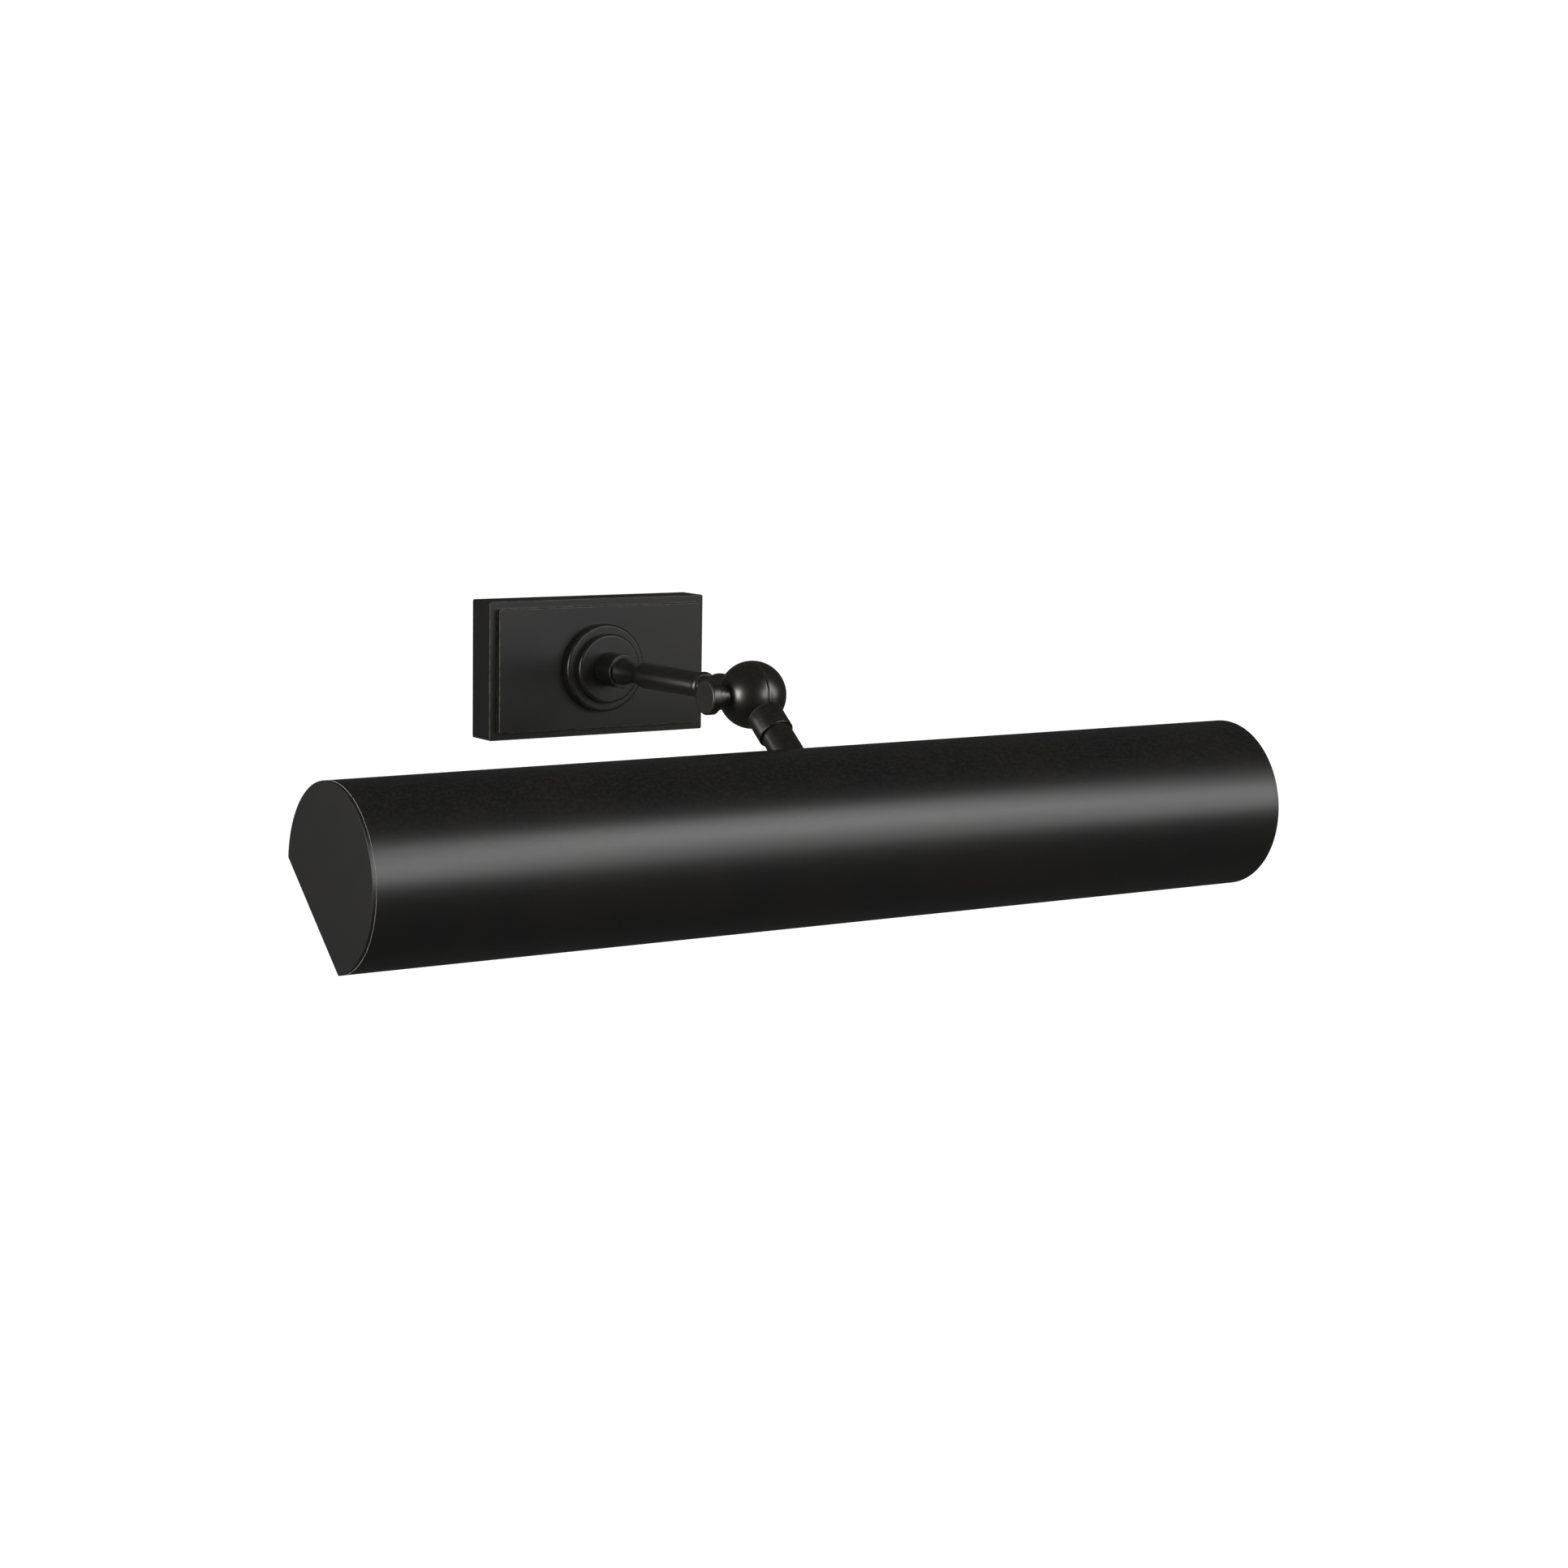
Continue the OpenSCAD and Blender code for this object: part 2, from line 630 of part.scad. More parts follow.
// Block between the tube's curved wall and the flat socket bracket
module stem_saddle() color(steel) difference() {
    down_stem() rotate([90, 0, 90]) translate([0, 0, -saddle_half]) linear_extrude(2 * saddle_half)
        intersection() {
            translate([-shade_off, shade_along]) circle(shade_r - shade_wall - skin_gap);
            translate([-saddle_half, 0]) square([2 * saddle_half, saddle_at]);
        }
    down_stem() cylinder(r = stem_r + slip, h = shade_along);
}

module stem_locknut() color(steel) down_stem() translate([0, 0, channel_floor])
    nut(locknut_across, stem_r + thread_gap, locknut_t);

module stem_bushing() color("#e9e4d6") down_stem() translate([0, 0, stem_end]) {
    tube(stem_r - 0.3, stem_bore_r - 1.2, bushing_t);
    translate([0, 0, -5]) tube(stem_bore_r - thread_gap, stem_bore_r - 1.2, 5);
}

module shade_shell() color(bronze) difference() {
    shade_run(-shade_len / 2 + cap_t, shade_len - 2 * cap_t) {
        difference() {
            shade_outline(shade_r);
            circle(shade_r - shade_wall);
        }
        difference() {
            shade_outline(shade_r);
            circle(shade_r - 2 * shade_wall);
            translate([-shade_r, -opening_drop + hem_w]) square(2 * shade_r);
        }
    }
    down_stem() cylinder(r = stem_r + slip, h = saddle_at);
}

// Flat end plate, flush with the tube, with a flange that locates inside it
module end_cap(side) color(bronze) {
    start = side > 0 ? shade_len / 2 - cap_t : -shade_len / 2;
    shade_run(start, cap_t) shade_outline(shade_r);
    shade_run(side > 0 ? start - cap_flange : start + cap_t, cap_flange) difference() {
        circle(shade_r - shade_wall - skin_gap);
        circle(shade_r - shade_wall - skin_gap - cap_flange_t);
        translate([-shade_r, -2 * shade_r - opening_drop + hem_w + 1]) square(2 * shade_r);
    }
}

module end_cap_left() end_cap(-1);
module end_cap_right() end_cap(1);

// Channel across the stem whose two cheeks carry the sockets
module socket_bracket() color(steel) difference() {
    down_stem() rotate([90, 0, 0]) translate([0, 0, -channel_high])
        linear_extrude(channel_high + channel_low) difference() {
            translate([-channel_half, saddle_at]) square([2 * channel_half, channel_end - saddle_at]);
            translate([-channel_half + channel_t, channel_floor])
                square([2 * (channel_half - channel_t), channel_end]);
        }
    down_stem() cylinder(r = stem_r + slip, h = channel_floor + past);
    at_lamp(1) translate([0, 0, -channel_half - past])
        cylinder(r = socket_stub_r + slip, h = 2 * (channel_half + past));
}

// Moulded socket with a threaded stub through the bracket's cheek
module lamp_socket(side) color("#efece4") at_lamp(side) difference() {
    union() {
        translate([0, 0, socket_stub_in]) cylinder(r = socket_stub_r, h = channel_half - socket_stub_in + past);
        translate([0, 0, channel_half]) rotate_extrude() polygon(concat(
            [[0, 0], [socket_r - 2.5, 0], [socket_r - 2.5, 6], [socket_r, 9]],
            arc(socket_r - 0.8, socket_len - 0.8, 0.8, 0, 90), [[0, socket_len]]));
    }
    translate([0, 0, socket_stub_in - past]) cylinder(r = socket_stub_r - 1.6, h = socket_len);
    translate([0, 0, socket_bottom]) cylinder(r = mouth_r, h = socket_depth + past);
}

module socket_left() lamp_socket(-1);
module socket_right() lamp_socket(1);

module socket_nuts() color(steel) for (side = [-1, 1])
    at_lamp(side) translate([0, 0, channel_half - channel_t - socket_nut_t])
        nut(socket_nut_across, socket_stub_r + thread_gap, socket_nut_t);

module socket_shell(side) color(brass) at_lamp(side)
    translate([0, 0, base_start]) tube(mouth_r - skin_gap, mouth_r - skin_gap - shell_t,
        socket_mouth - base_start - 2);

module socket_shell_left() socket_shell(-1);
module socket_shell_right() socket_shell(1);

module socket_contact(side) color(brass) at_lamp(side)
    translate([0, 0, socket_bottom]) cylinder(r = 3.6, h = contact_h);

module socket_contact_left() socket_contact(-1);
module socket_contact_right() socket_contact(1);

// Tubular bulb: glass with a domed end and a neck drawn in to the base
function bulb_outline(r, end, dome, n) = concat(
    [for (i = [0:n]) let (t = i / n)
        [glass_neck_r + (r - glass_neck_r) * (1 - cos(180 * t)) / 2, glass_neck + t * 9]],
    [for (i = [1:n]) let (a = 90 * i / n) [max(r * cos(a), 0), end - dome + dome * sin(a)]]);

module bulb_glass(side) color("#f2f4f2", 0.45) at_lamp(side) translate([0, 0, glass_start])
    rotate_extrude() difference() {
        polygon(concat([[0, 0], [glass_neck_r, 0]], bulb_outline(glass_r, glass_len, 9, 10)));
        polygon(concat([[0, -past], [glass_neck_r - glass_t, -past]],
            [for (p = bulb_outline(glass_r - glass_t, glass_len - glass_t, 9 - glass_t, 10))
                p[1] > glass_neck ? p : [glass_neck_r - glass_t, glass_neck]]));
    }

module bulb_glass_left() bulb_glass(-1);
module bulb_glass_right() bulb_glass(1);

module bulb_base(side) color(brass) at_lamp(side) translate([0, 0, base_start]) difference() {
    cylinder(r = base_r - thread_gap, h = base_len);
    translate([0, 0, 1]) cylinder(r = base_r - 0.5, h = base_len);
}

module bulb_base_left() bulb_base(-1);
module bulb_base_right() bulb_base(1);

module bulb_tip(side) color(steel) at_lamp(side) translate([0, 0, base_start - 1.6]) {
    cylinder(r = 1.8, h = 1.6);
    translate([0, 0, 0.9]) cylinder(r = 3.8, h = 0.7);
}

module bulb_tip_left() bulb_tip(-1);
module bulb_tip_right() bulb_tip(1);

// Glass mount with the straight filament standing on it
module filament(side) color("#b9b2a2") at_lamp(side) translate([0, 0, base_start + 1]) {
    cylinder(r = 1.6, h = base_len + 8);
    cylinder(r = 0.3, h = base_len + glass_len - 16);
}

module filament_left() filament(-1);
module filament_right() filament(1);

// Crimped splices where each supply lead meets the two socket leads
module lead_splices() color("#b8bcc0") for (side = [-1, 1])
    down_stem() translate([side * splice_x, splice_y, splice_start])
        tube(2.3, 1.9, splice_len);

// Leads of one colour: one down the stem into its splice, one out to each socket
module shade_leads(side) down_stem() {
    lead([[lead_side, side * 1, lead_bend], [lead_side - 1.6, side * 1, stem_start - 3],
        [1.2, side * 1, stem_start + 4], [side * 1.2, side * 0.6, stem_start + 12],
        [side * 1.4, 0.4, stem_end - 10], [side * 1.8, 1, stem_end - 1],
        [side * splice_x, splice_y, splice_start + 1.5],
        [side * splice_x, splice_y, splice_start + 3.5]], [0, 1, 0]);
    for (way = [-1, 1]) {
        x = side * splice_x + way * 0.95;
        low = -shade_off + side * 1;
        mouth = splice_start + splice_len;
        rise = side > 0 ? 6.6 : 3.4;
        lead(concat([[x, splice_y, mouth - 3.5], [x, splice_y, mouth + 0.8]],
            way == side ? [] : [[side * 1.2, 0.6, mouth + rise - 1]],
            [[way * 4.8, side * 1.6 - 1.4, mouth + rise],
            [way * 7.8, low + 1.4 + side * 0.9, shade_along + side * 0.3],
            [way * (socket_stub_in + 1), low, shade_along],
            [way * (socket_stub_in + 8), low, shade_along],
            [way * (socket_bottom - 0.4), low, shade_along]]), [0, 0.3, 1]);
    }
}

module shade_leads_black() color("#1d1d1d") shade_leads(1);
module shade_leads_white() color("#e8e6df") shade_leads(-1);

canopy();
mounting_bracket();
canopy_screws();
ground_screw();
ground_lead();
nipple();
nipple_nut();
nipple_lockwasher();
rosette_outer();
rosette_inner();
hub();
arm();
arm_lead_black();
arm_lead_white();
wire_connector_black();
wire_connector_white();
knuckle_arm_half();
friction_washer();
knob_washer();
clamp_knob();
clamp_stud();
knuckle_shade_half();
stem();
stem_saddle();
stem_locknut();
stem_bushing();
shade_shell();
end_cap_left();
end_cap_right();
socket_bracket();
socket_left();
socket_right();
socket_nuts();
socket_shell_left();
socket_shell_right();
socket_contact_left();
socket_contact_right();
bulb_glass_left();
bulb_glass_right();
bulb_base_left();
bulb_base_right();
bulb_tip_left();
bulb_tip_right();
filament_left();
filament_right();
lead_splices();
shade_leads_black();
shade_leads_white();
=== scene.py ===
"""Looks of a wall picture light, modelled and finished round its packed construction."""

import json
import math

import bpy
from bpy.props import FloatProperty, FloatVectorProperty, IntProperty, PointerProperty
from bpy.types import Operator, Panel, PropertyGroup
from mathutils import Matrix, Vector


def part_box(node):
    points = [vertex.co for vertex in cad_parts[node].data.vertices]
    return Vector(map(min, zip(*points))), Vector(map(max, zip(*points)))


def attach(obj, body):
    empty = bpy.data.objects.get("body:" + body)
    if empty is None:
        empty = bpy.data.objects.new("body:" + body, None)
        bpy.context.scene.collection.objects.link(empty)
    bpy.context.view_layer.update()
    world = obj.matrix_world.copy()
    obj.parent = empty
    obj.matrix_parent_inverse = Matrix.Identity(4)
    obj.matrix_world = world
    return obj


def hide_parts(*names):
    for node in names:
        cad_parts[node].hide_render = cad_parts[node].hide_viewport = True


bl_info = {
    "name": "Picture Light",
    "version": (1, 0, 0),
    "blender": (4, 5, 0),
    "location": "View3D > Sidebar > Picture Light",
    "description": "Models the visible pieces of a wall picture light and their finishes",
    "category": "Object",
}

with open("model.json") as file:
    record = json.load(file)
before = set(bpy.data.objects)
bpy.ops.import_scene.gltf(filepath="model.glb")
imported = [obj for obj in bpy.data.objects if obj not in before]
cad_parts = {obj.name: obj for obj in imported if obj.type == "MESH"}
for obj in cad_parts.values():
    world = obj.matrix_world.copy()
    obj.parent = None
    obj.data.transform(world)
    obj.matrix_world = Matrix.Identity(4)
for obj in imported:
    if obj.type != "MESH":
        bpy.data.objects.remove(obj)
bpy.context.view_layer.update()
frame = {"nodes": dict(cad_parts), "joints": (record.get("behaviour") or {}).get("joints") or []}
MM = 0.001
FULL_TURN = 2 * math.pi
QUARTER_TURN = math.radians(90)
MERGE_WITHIN = 0.002 * MM
SAME_PLANE = MM / 10
BALL = Vector(next(j for j in frame["joints"] if j["name"] == "shade_tilt")["pos_m"])


# ---- Sizes ----


def length(name, description, millimetres):
    """A length setting, given in millimetres and kept in metres."""
    return FloatProperty(
        name=name, description=description, default=millimetres * MM, unit="LENGTH", precision=5
    )


def turn(name, description, degrees):
    """An angle setting, given in degrees and kept in radians."""
    return FloatProperty(
        name=name, description=description, default=math.radians(degrees), subtype="ANGLE"
    )


def share(name, description, value):
    """A plain number setting."""
    return FloatProperty(name=name, description=description, default=value, min=0)


def colour(name, description, value):
    """A colour setting."""
    return FloatVectorProperty(
        name=name, description=description, default=value, subtype="COLOR", size=3, min=0, max=1
    )


class CanopySizes(PropertyGroup):
    wall: length("Wall", "Thickness of the canopy's sides and front", 1.6)
    corner: length("Corner", "Rounding of the corners seen from the front", 0.9)
    edge: length("Edge", "Rounding of the outer edges", 0.35)
    panel_inset: length("Panel inset", "Margin round the raised front panel", 3.6)
    panel_rise: length("Panel rise", "Height of the raised front panel", 2.8)
    screw_out: length("Screw place", "Distance of the screws from the wall", 8)
    recess_radius: length("Recess radius", "Radius of the recess round a screw", 4.6)
    recess_depth: length("Recess depth", "Depth of the recess round a screw", 1.8)
    slot_width: length("Slot width", "Width of the slot in a screw's head", 0.9)


class ArmSizes(PropertyGroup):
    disc_edge: length("Disc edge", "Rounding of the rosette discs' front edges", 1.3)
    disc_back: length("Disc back", "Rounding of the rosette discs' rear edges", 0.25)
    hub_edge: length("Hub edge", "Rounding of the hub's front edge", 0.45)
    root_radius: length("Root radius", "Radius where the arm leaves the hub", 6.3)
    waist_radius: length("Waist radius", "Radius of the waist behind the swelling", 4.6)
    waist_at: length("Waist place", "Distance from the hub to the waist", 12.4)
    belly_radius: length("Swelling radius", "Largest radius of the swelling", 6.1)
    belly_at: length("Swelling place", "Distance from the hub to the swelling", 20.9)
    tip_radius: length("Tip radius", "Radius of the taper before the end ring", 5.6)
    ring_radius: length("Ring radius", "Radius of the end ring", 6.4)
    ring_width: length("Ring width", "Width of the end ring", 3.6)
    bore: length("Bore", "Radius of the arm's bore", 3)


class KnuckleSizes(PropertyGroup):
    neck_radius: length("Neck radius", "Radius of the narrow part of the neck", 4.8)
    bead_radius: length("Bead radius", "Radius of the bead on the neck", 7)
    bead_at: length("Bead place", "Distance of the bead from the ball's middle", 26)
    bead_half: length("Bead half-width", "Half the width of the bead", 5.6)
    throat_radius: length("Throat radius", "Radius of the neck where it meets the ball", 6)
    seam_gap: length("Seam gap", "Gap between the two halves of the ball", 0.34)
    seam_edge: length("Seam edge", "Rounding of the halves' edges at the seam", 0.24)
    sweep_gap: length("Sweep gap", "Clearance of neck and collar over the ball", 0.3)
    seat_radius: length("Seat radius", "Radius of the flat seat under the knob's washer", 4.62)
    flange_thickness: length("Flange thickness", "Thickness of the washer's flange", 2.9)
    knob_front: length("Knob front", "Rounding of the knob's front edge", 0.8)
    knob_back: length("Knob back", "Rounding of the knob's back edge", 0.5)
    collar_radius: length("Collar radius", "Radius of the collar", 8)
    collar_reach: length("Collar reach", "Distance from the ball's middle to the collar's end", 24.8)
    collar_lip: length("Collar lip", "Thickness of the collar's lip round its recess", 0.55)
    collar_recess: length("Collar recess", "Depth of the recess in the collar's end", 1.4)
    stem_radius: length("Stem radius", "Radius of the stem", 7.05)
    stem_bore: length("Stem bore", "Radius of the stem's bore", 5.6)
    stem_start: length("Stem start", "Distance from the ball's middle to the stem's seat", 17.6)
    stem_end: length("Stem end", "Distance from the ball's middle to the stem's far end", 57)
    groove_depth: length("Groove depth", "Depth of the stem's groove at the collar's end", 0.75)
    groove_width: length("Groove width", "Width of the stem's groove beyond the collar", 1)
    stem_fall: turn("Stem fall", "Slope of the stem below the horizontal", 38)


class ShadeSizes(PropertyGroup):
    radius: length("Radius", "Outer radius of the shade's tube", 38)
    wall: length("Wall", "Thickness of the shade's sheet", 1)
    drop: length("Opening drop", "Distance from the tube's axis to its opening's plane", 23)
    hem: length("Hem", "Width of the folded hem along the opening", 4)
    along: length("Along the stem", "Distance from the ball to the tube's axis along the stem", 76)
    off: length("Off the stem", "Distance of the tube's axis from the stem's line", 11)
    cap: length("Cap", "Thickness of an end cap", 1.5)
    cap_edge: length("Cap edge", "Rounding of an end cap's rim", 0.3)
    cap_flange: length("Cap flange", "Depth of the flange inside an end cap", 5)
    fit: length("Fit", "Gap between the cap's flange and the tube", 0.05)
    opening_fall: turn("Opening fall", "Slope of the opening's outward direction", 48.5)


class LampSizes(PropertyGroup):
    socket_edge: length("Socket edge", "Rounding of the socket's mouth", 0.8)
    glass_wall: length("Glass wall", "Thickness of the bulb's glass", 0.7)
    glass_neck: length("Glass neck", "Radius of the glass where it enters the base", 4.7)
    glass_neck_len: length("Neck length", "Length of the glass inside the socket", 3.9)
    shoulder: length("Shoulder", "Length over which the glass widens", 9)
    dome: length("Dome", "Length of the rounded end of the glass", 9)
    rib: length("Rib", "Height of the ribs round the socket's grip", 0.35)


class FinishSettings(PropertyGroup):
    bronze: colour("Bronze", "Dark bronze lacquer", (0.0034, 0.0034, 0.0033))
    bronze_warm: colour("Warm bronze", "Browner clouds in the lacquer", (0.0048, 0.0042, 0.0033))
    # Much lighter than the lacquer: partly worn edges, partly a painted highlight along every rim.
    bronze_edge_wear_and_highlight: colour("Worn and highlit bronze", "Edges where the lacquer is thin, and a painted highlight on them", (0.100, 0.088, 0.070))
    bronze_roughness: share("Bronze roughness", "Roughness of the lacquer on turned pieces", 0.33)
    satin_roughness: share("Satin roughness", "Roughness of the lacquer on canopy and shade", 0.35)
    enamel: colour("Enamel", "Warm white enamel inside the shade", (0.80, 0.785, 0.73))
    zinc: colour("Zinc", "Zinc plating", (0.56, 0.57, 0.58))
    brass: colour("Brass", "Plain brass", (0.66, 0.47, 0.20))


class StageSettings(PropertyGroup):
    azimuth: turn("Azimuth", "Camera's direction round the light, to the left", 33.64)
    elevation: turn("Elevation", "Camera's height above the horizon", 7.84)
    roll: turn("Roll", "Camera's roll", 0.934)
    distance: length("Distance", "From the camera to the point it looks at", 1409.6)
    lens: share("Lens", "Focal length for a 36 mm sensor", 72.33)
    aim_right: length("Aim right", "Point looked at, right of the light's middle", 25)
    aim_out: length("Aim out", "Point looked at, out from the wall", 139.65)
    aim_down: length("Aim down", "Point looked at, below the arm's axis", 42.46)
    softbox_distance: length("Softbox distance", "From the light to each softbox", 2200)
    softbox_size: length("Softbox size", "Side of each softbox", 800)
    floor_drop: length("Floor drop", "Height of the light above the floor", 1500)
    facets: IntProperty(name="Facets", description="Facets round a turned piece", default=96, min=24)


GROUPS = {
    "canopy": CanopySizes,
    "arm": ArmSizes,
    "knuckle": KnuckleSizes,
    "shade": ShadeSizes,
    "lamps": LampSizes,
    "finish": FinishSettings,
    "stage": StageSettings,
}


class PictureLightSettings(PropertyGroup):
    canopy: PointerProperty(type=CanopySizes)
    arm: PointerProperty(type=ArmSizes)
    knuckle: PointerProperty(type=KnuckleSizes)
    shade: PointerProperty(type=ShadeSizes)
    lamps: PointerProperty(type=LampSizes)
    finish: PointerProperty(type=FinishSettings)
    stage: PointerProperty(type=StageSettings)


def settings():
    """The settings kept on the scene."""
    return bpy.context.scene.picture_light


# ---- Modelling steps ----


def select_only(piece):
    """Selects one object, alone and active."""
    bpy.ops.object.select_all(action="DESELECT")
    piece.select_set(True)
    bpy.context.view_layer.objects.active = piece


def edit(piece, mode="FACE"):
    """Opens a piece in edit mode with nothing selected."""
    select_only(piece)
    bpy.ops.object.mode_set(mode="EDIT")
    bpy.ops.mesh.select_mode(type=mode)
    bpy.ops.mesh.select_all(action="DESELECT")


def leave_edit():
    bpy.ops.object.mode_set(mode="OBJECT")


def select_edges(piece, wanted):
    """Opens a piece in edit mode with those edges selected for which wanted(edge) is true."""
    edit(piece, "EDGE")
    leave_edit()
    for edge in piece.data.edges:
        edge.select = wanted(edge)
    bpy.ops.object.mode_set(mode="EDIT")


def add_primitive(name, add, **values):
    """Adds a primitive with one of Blender's own add operators, selected alone."""
    bpy.ops.object.select_all(action="DESELECT")
    add(**values)
    made = bpy.context.object
    made.name = name
    return made


def apply_modifier(piece, kind, **values):
    """Adds one modifier with these values and applies it."""
    select_only(piece)
    modifier = piece.modifiers.new(kind.title(), kind)
    for name, value in values.items():
        setattr(modifier, name, value)
    bpy.ops.object.modifier_apply(modifier=modifier.name)


def round_edges(piece, width, segments=3, angle=35):
    """Rounds every edge sharper than the angle."""
    apply_modifier(
        piece, "BEVEL", width=width, segments=segments, limit_method="ANGLE",
        angle_limit=math.radians(angle), miter_outer="MITER_ARC", use_clamp_overlap=True,
    )


def combine(piece, other, operation):
    """Joins, cuts or intersects a piece with another, which is used up."""
    apply_modifier(piece, "BOOLEAN", object=other, operation=operation, solver="EXACT")
    bpy.data.meshes.remove(other.data)


def tidy_surface(piece):
    """Merges doubles and turns every face outwards."""
    edit(piece, "VERT")
    bpy.ops.mesh.select_all(action="SELECT")
    bpy.ops.mesh.remove_doubles(threshold=MERGE_WITHIN)
    bpy.ops.mesh.normals_make_consistent(inside=False)
    leave_edit()


def place(piece, matrix):
    """Moves a piece to its place and keeps the place in its mesh."""
    select_only(piece)
    piece.matrix_world = matrix
    bpy.ops.object.transform_apply(location=True, rotation=True, scale=True)


def soften(piece, angle=32, weighted=True):
    """Smooth shading that keeps real edges and flat faces."""
    select_only(piece)
    bpy.ops.object.shade_smooth_by_angle(angle=math.radians(angle))
    if weighted:
        apply_modifier(piece, "WEIGHTED_NORMAL", keep_sharp=True, weight=60)


class Outline:
    """A wire drawn in the XZ plane with straight strokes and arcs."""

    def __init__(self, name, start):
        self.piece = add_primitive(
            name, bpy.ops.mesh.primitive_plane_add, size=MM, enter_editmode=True
        )
        bpy.ops.mesh.select_mode(type="VERT")
        bpy.ops.mesh.merge(type="CENTER")
        bpy.ops.transform.translate(value=(start[0], 0, start[1]))
        self.start = self.at = Vector(start)

    def line(self, *points):
        """Straight strokes to each point."""
        for point in points:
            step = Vector(point) - self.at
            if step.length > 1e-9:
                bpy.ops.mesh.extrude_region_move(
                    TRANSFORM_OT_translate={"value": (step.x, 0, step.y)}
                )
                self.at = Vector(point)
        return self

    def arc(self, centre, degrees, steps=6):
        """An arc about a centre, anticlockwise where degrees is positive."""
        bpy.ops.mesh.spin(
            steps=steps, angle=math.radians(degrees), axis=(0, 1, 0),
            center=(centre[0], 0, centre[1]), use_auto_merge=False,
        )
        self.at = Vector(centre) + Matrix.Rotation(math.radians(degrees), 2) @ (
            self.at - Vector(centre)
        )
        return self

    def close(self):
        """A last stroke back to the start."""
        return self.line(self.start)

    def turned(self, facets=None):
        """The piece that the wire sweeps as it turns once about Z."""
        bpy.ops.mesh.select_all(action="SELECT")
        bpy.ops.mesh.spin(
            steps=facets or settings().stage.facets, angle=FULL_TURN,
            axis=(0, 0, 1), center=(0, 0, 0),
        )
        leave_edit()
        tidy_surface(self.piece)
        return self.piece

    def plate(self, thickness):
        """A plate of this outline, from Y = 0 to Y = thickness."""
        bpy.ops.mesh.select_all(action="SELECT")
        bpy.ops.mesh.remove_doubles(threshold=MERGE_WITHIN)
        bpy.ops.mesh.edge_face_add()
        bpy.ops.mesh.extrude_region_move(TRANSFORM_OT_translate={"value": (0, thickness, 0)})
        leave_edit()
        tidy_surface(self.piece)
        return self.piece


def cylinder(name, radius, depth, facets=96):
    """A plain cylinder standing on Z = 0, used to cut or to build up another piece."""
    made = add_primitive(
        name, bpy.ops.mesh.primitive_cylinder_add,
        vertices=facets, radius=radius, depth=depth, location=(0, 0, depth / 2),
    )
    place(made, made.matrix_world.copy())
    return made


def ball(name, radius, facets=96):
    """A ball about the origin with its poles on X."""
    made = add_primitive(
        name, bpy.ops.mesh.primitive_uv_sphere_add,
        segments=facets, ring_count=facets // 2, radius=radius,
    )
    place(made, Matrix.Rotation(QUARTER_TURN, 4, "Y"))
    return made


def copy_of(piece, name):
    """A copy of a piece, with its own mesh."""
    select_only(piece)
    bpy.ops.object.duplicate(linked=False)
    made = bpy.context.object
    made.name = name
    return made


def out_from_wall(out):
    """Local Z points out from the wall, local Y up, the origin at this distance out."""
    return Matrix.Translation((0, -out, 0)) @ Matrix.Rotation(QUARTER_TURN, 4, "X")


def along_x(x):
    """Local Z points along +X, level with the ball's middle."""
    return Matrix.Translation(BALL + Vector((x, 0, 0))) @ Matrix.Rotation(QUARTER_TURN, 4, "Y")


def down_stem(distance=0):
    """Local Z runs down the stem from the ball's middle."""
    fall = settings().knuckle.stem_fall
    turned = Matrix.Rotation(fall + QUARTER_TURN, 4, "X")
    return Matrix.Translation(BALL) @ turned @ Matrix.Translation((0, 0, distance))


def tube_axis():
    """A point on the axis of the shade's tube."""
    sizes = settings().shade
    return down_stem() @ Vector((0, -sizes.off, sizes.along))


def at_shade(x):
    """Local Y runs along the tube's axis from this X, local -Z points out of the opening."""
    opening = QUARTER_TURN - settings().shade.opening_fall
    return (
        Matrix.Translation(tube_axis() + Vector((x, 0, 0)))
        @ Matrix.Rotation(opening, 4, "X")
        @ Matrix.Rotation(math.radians(-90), 4, "Z")
    )


def at_lamp(side, distance=0):
    """Local Z runs along a lamp's axis, away from the middle of the shade."""
    facing = Matrix.Rotation(QUARTER_TURN * side, 4, "Y")
    return Matrix.Translation(tube_axis()) @ facing @ Matrix.Translation((0, 0, distance))


def hand_over(piece, body, slot, materials, *nodes):
    """Gives a finished piece its materials and its body, and hides the nodes it stands for; the slot
    argument is not used.
    """
    for material in materials:
        piece.data.materials.append(material)
    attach(piece, body)
    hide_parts(*nodes)
    return piece


# ---- Shared surface effects ----


def new_group(name, inputs, outputs):
    """An empty node group with these named sockets: (name, kind, default) and (name, kind)."""
    group = bpy.data.node_groups.new(name, "ShaderNodeTree")
    for label, kind, value in inputs:
        socket = group.interface.new_socket(
            name=label, in_out="INPUT", socket_type="NodeSocket" + kind
        )
        socket.default_value = value
    for label, kind in outputs:
        group.interface.new_socket(name=label, in_out="OUTPUT", socket_type="NodeSocket" + kind)
    return group, group.nodes.new("NodeGroupInput"), group.nodes.new("NodeGroupOutput")


def node(tree, kind, inputs=None, **values):
    """A node of a tree. Inputs are plain values or sockets to link from."""
    made = tree.nodes.new("ShaderNode" + kind)
    for name, value in values.items():
        setattr(made, name, value)
    for name, value in (inputs or {}).items():
        if isinstance(value, bpy.types.NodeSocket):
            tree.links.new(value, made.inputs[name])
        else:
            made.inputs[name].default_value = value
    return made


def spread(tree, value, low, high, to_low=0.0, to_high=1.0):
    """A value taken from one range to another, held at both ends."""
    limits = {"From Min": low, "From Max": high, "To Min": to_low, "To Max": to_high}
    return node(tree, "MapRange", {"Value": value, **limits}).outputs["Result"]


def product(tree, one, other):
    """One value times another."""
    return node(tree, "Math", {0: one, 1: other}, operation="MULTIPLY").outputs[0]


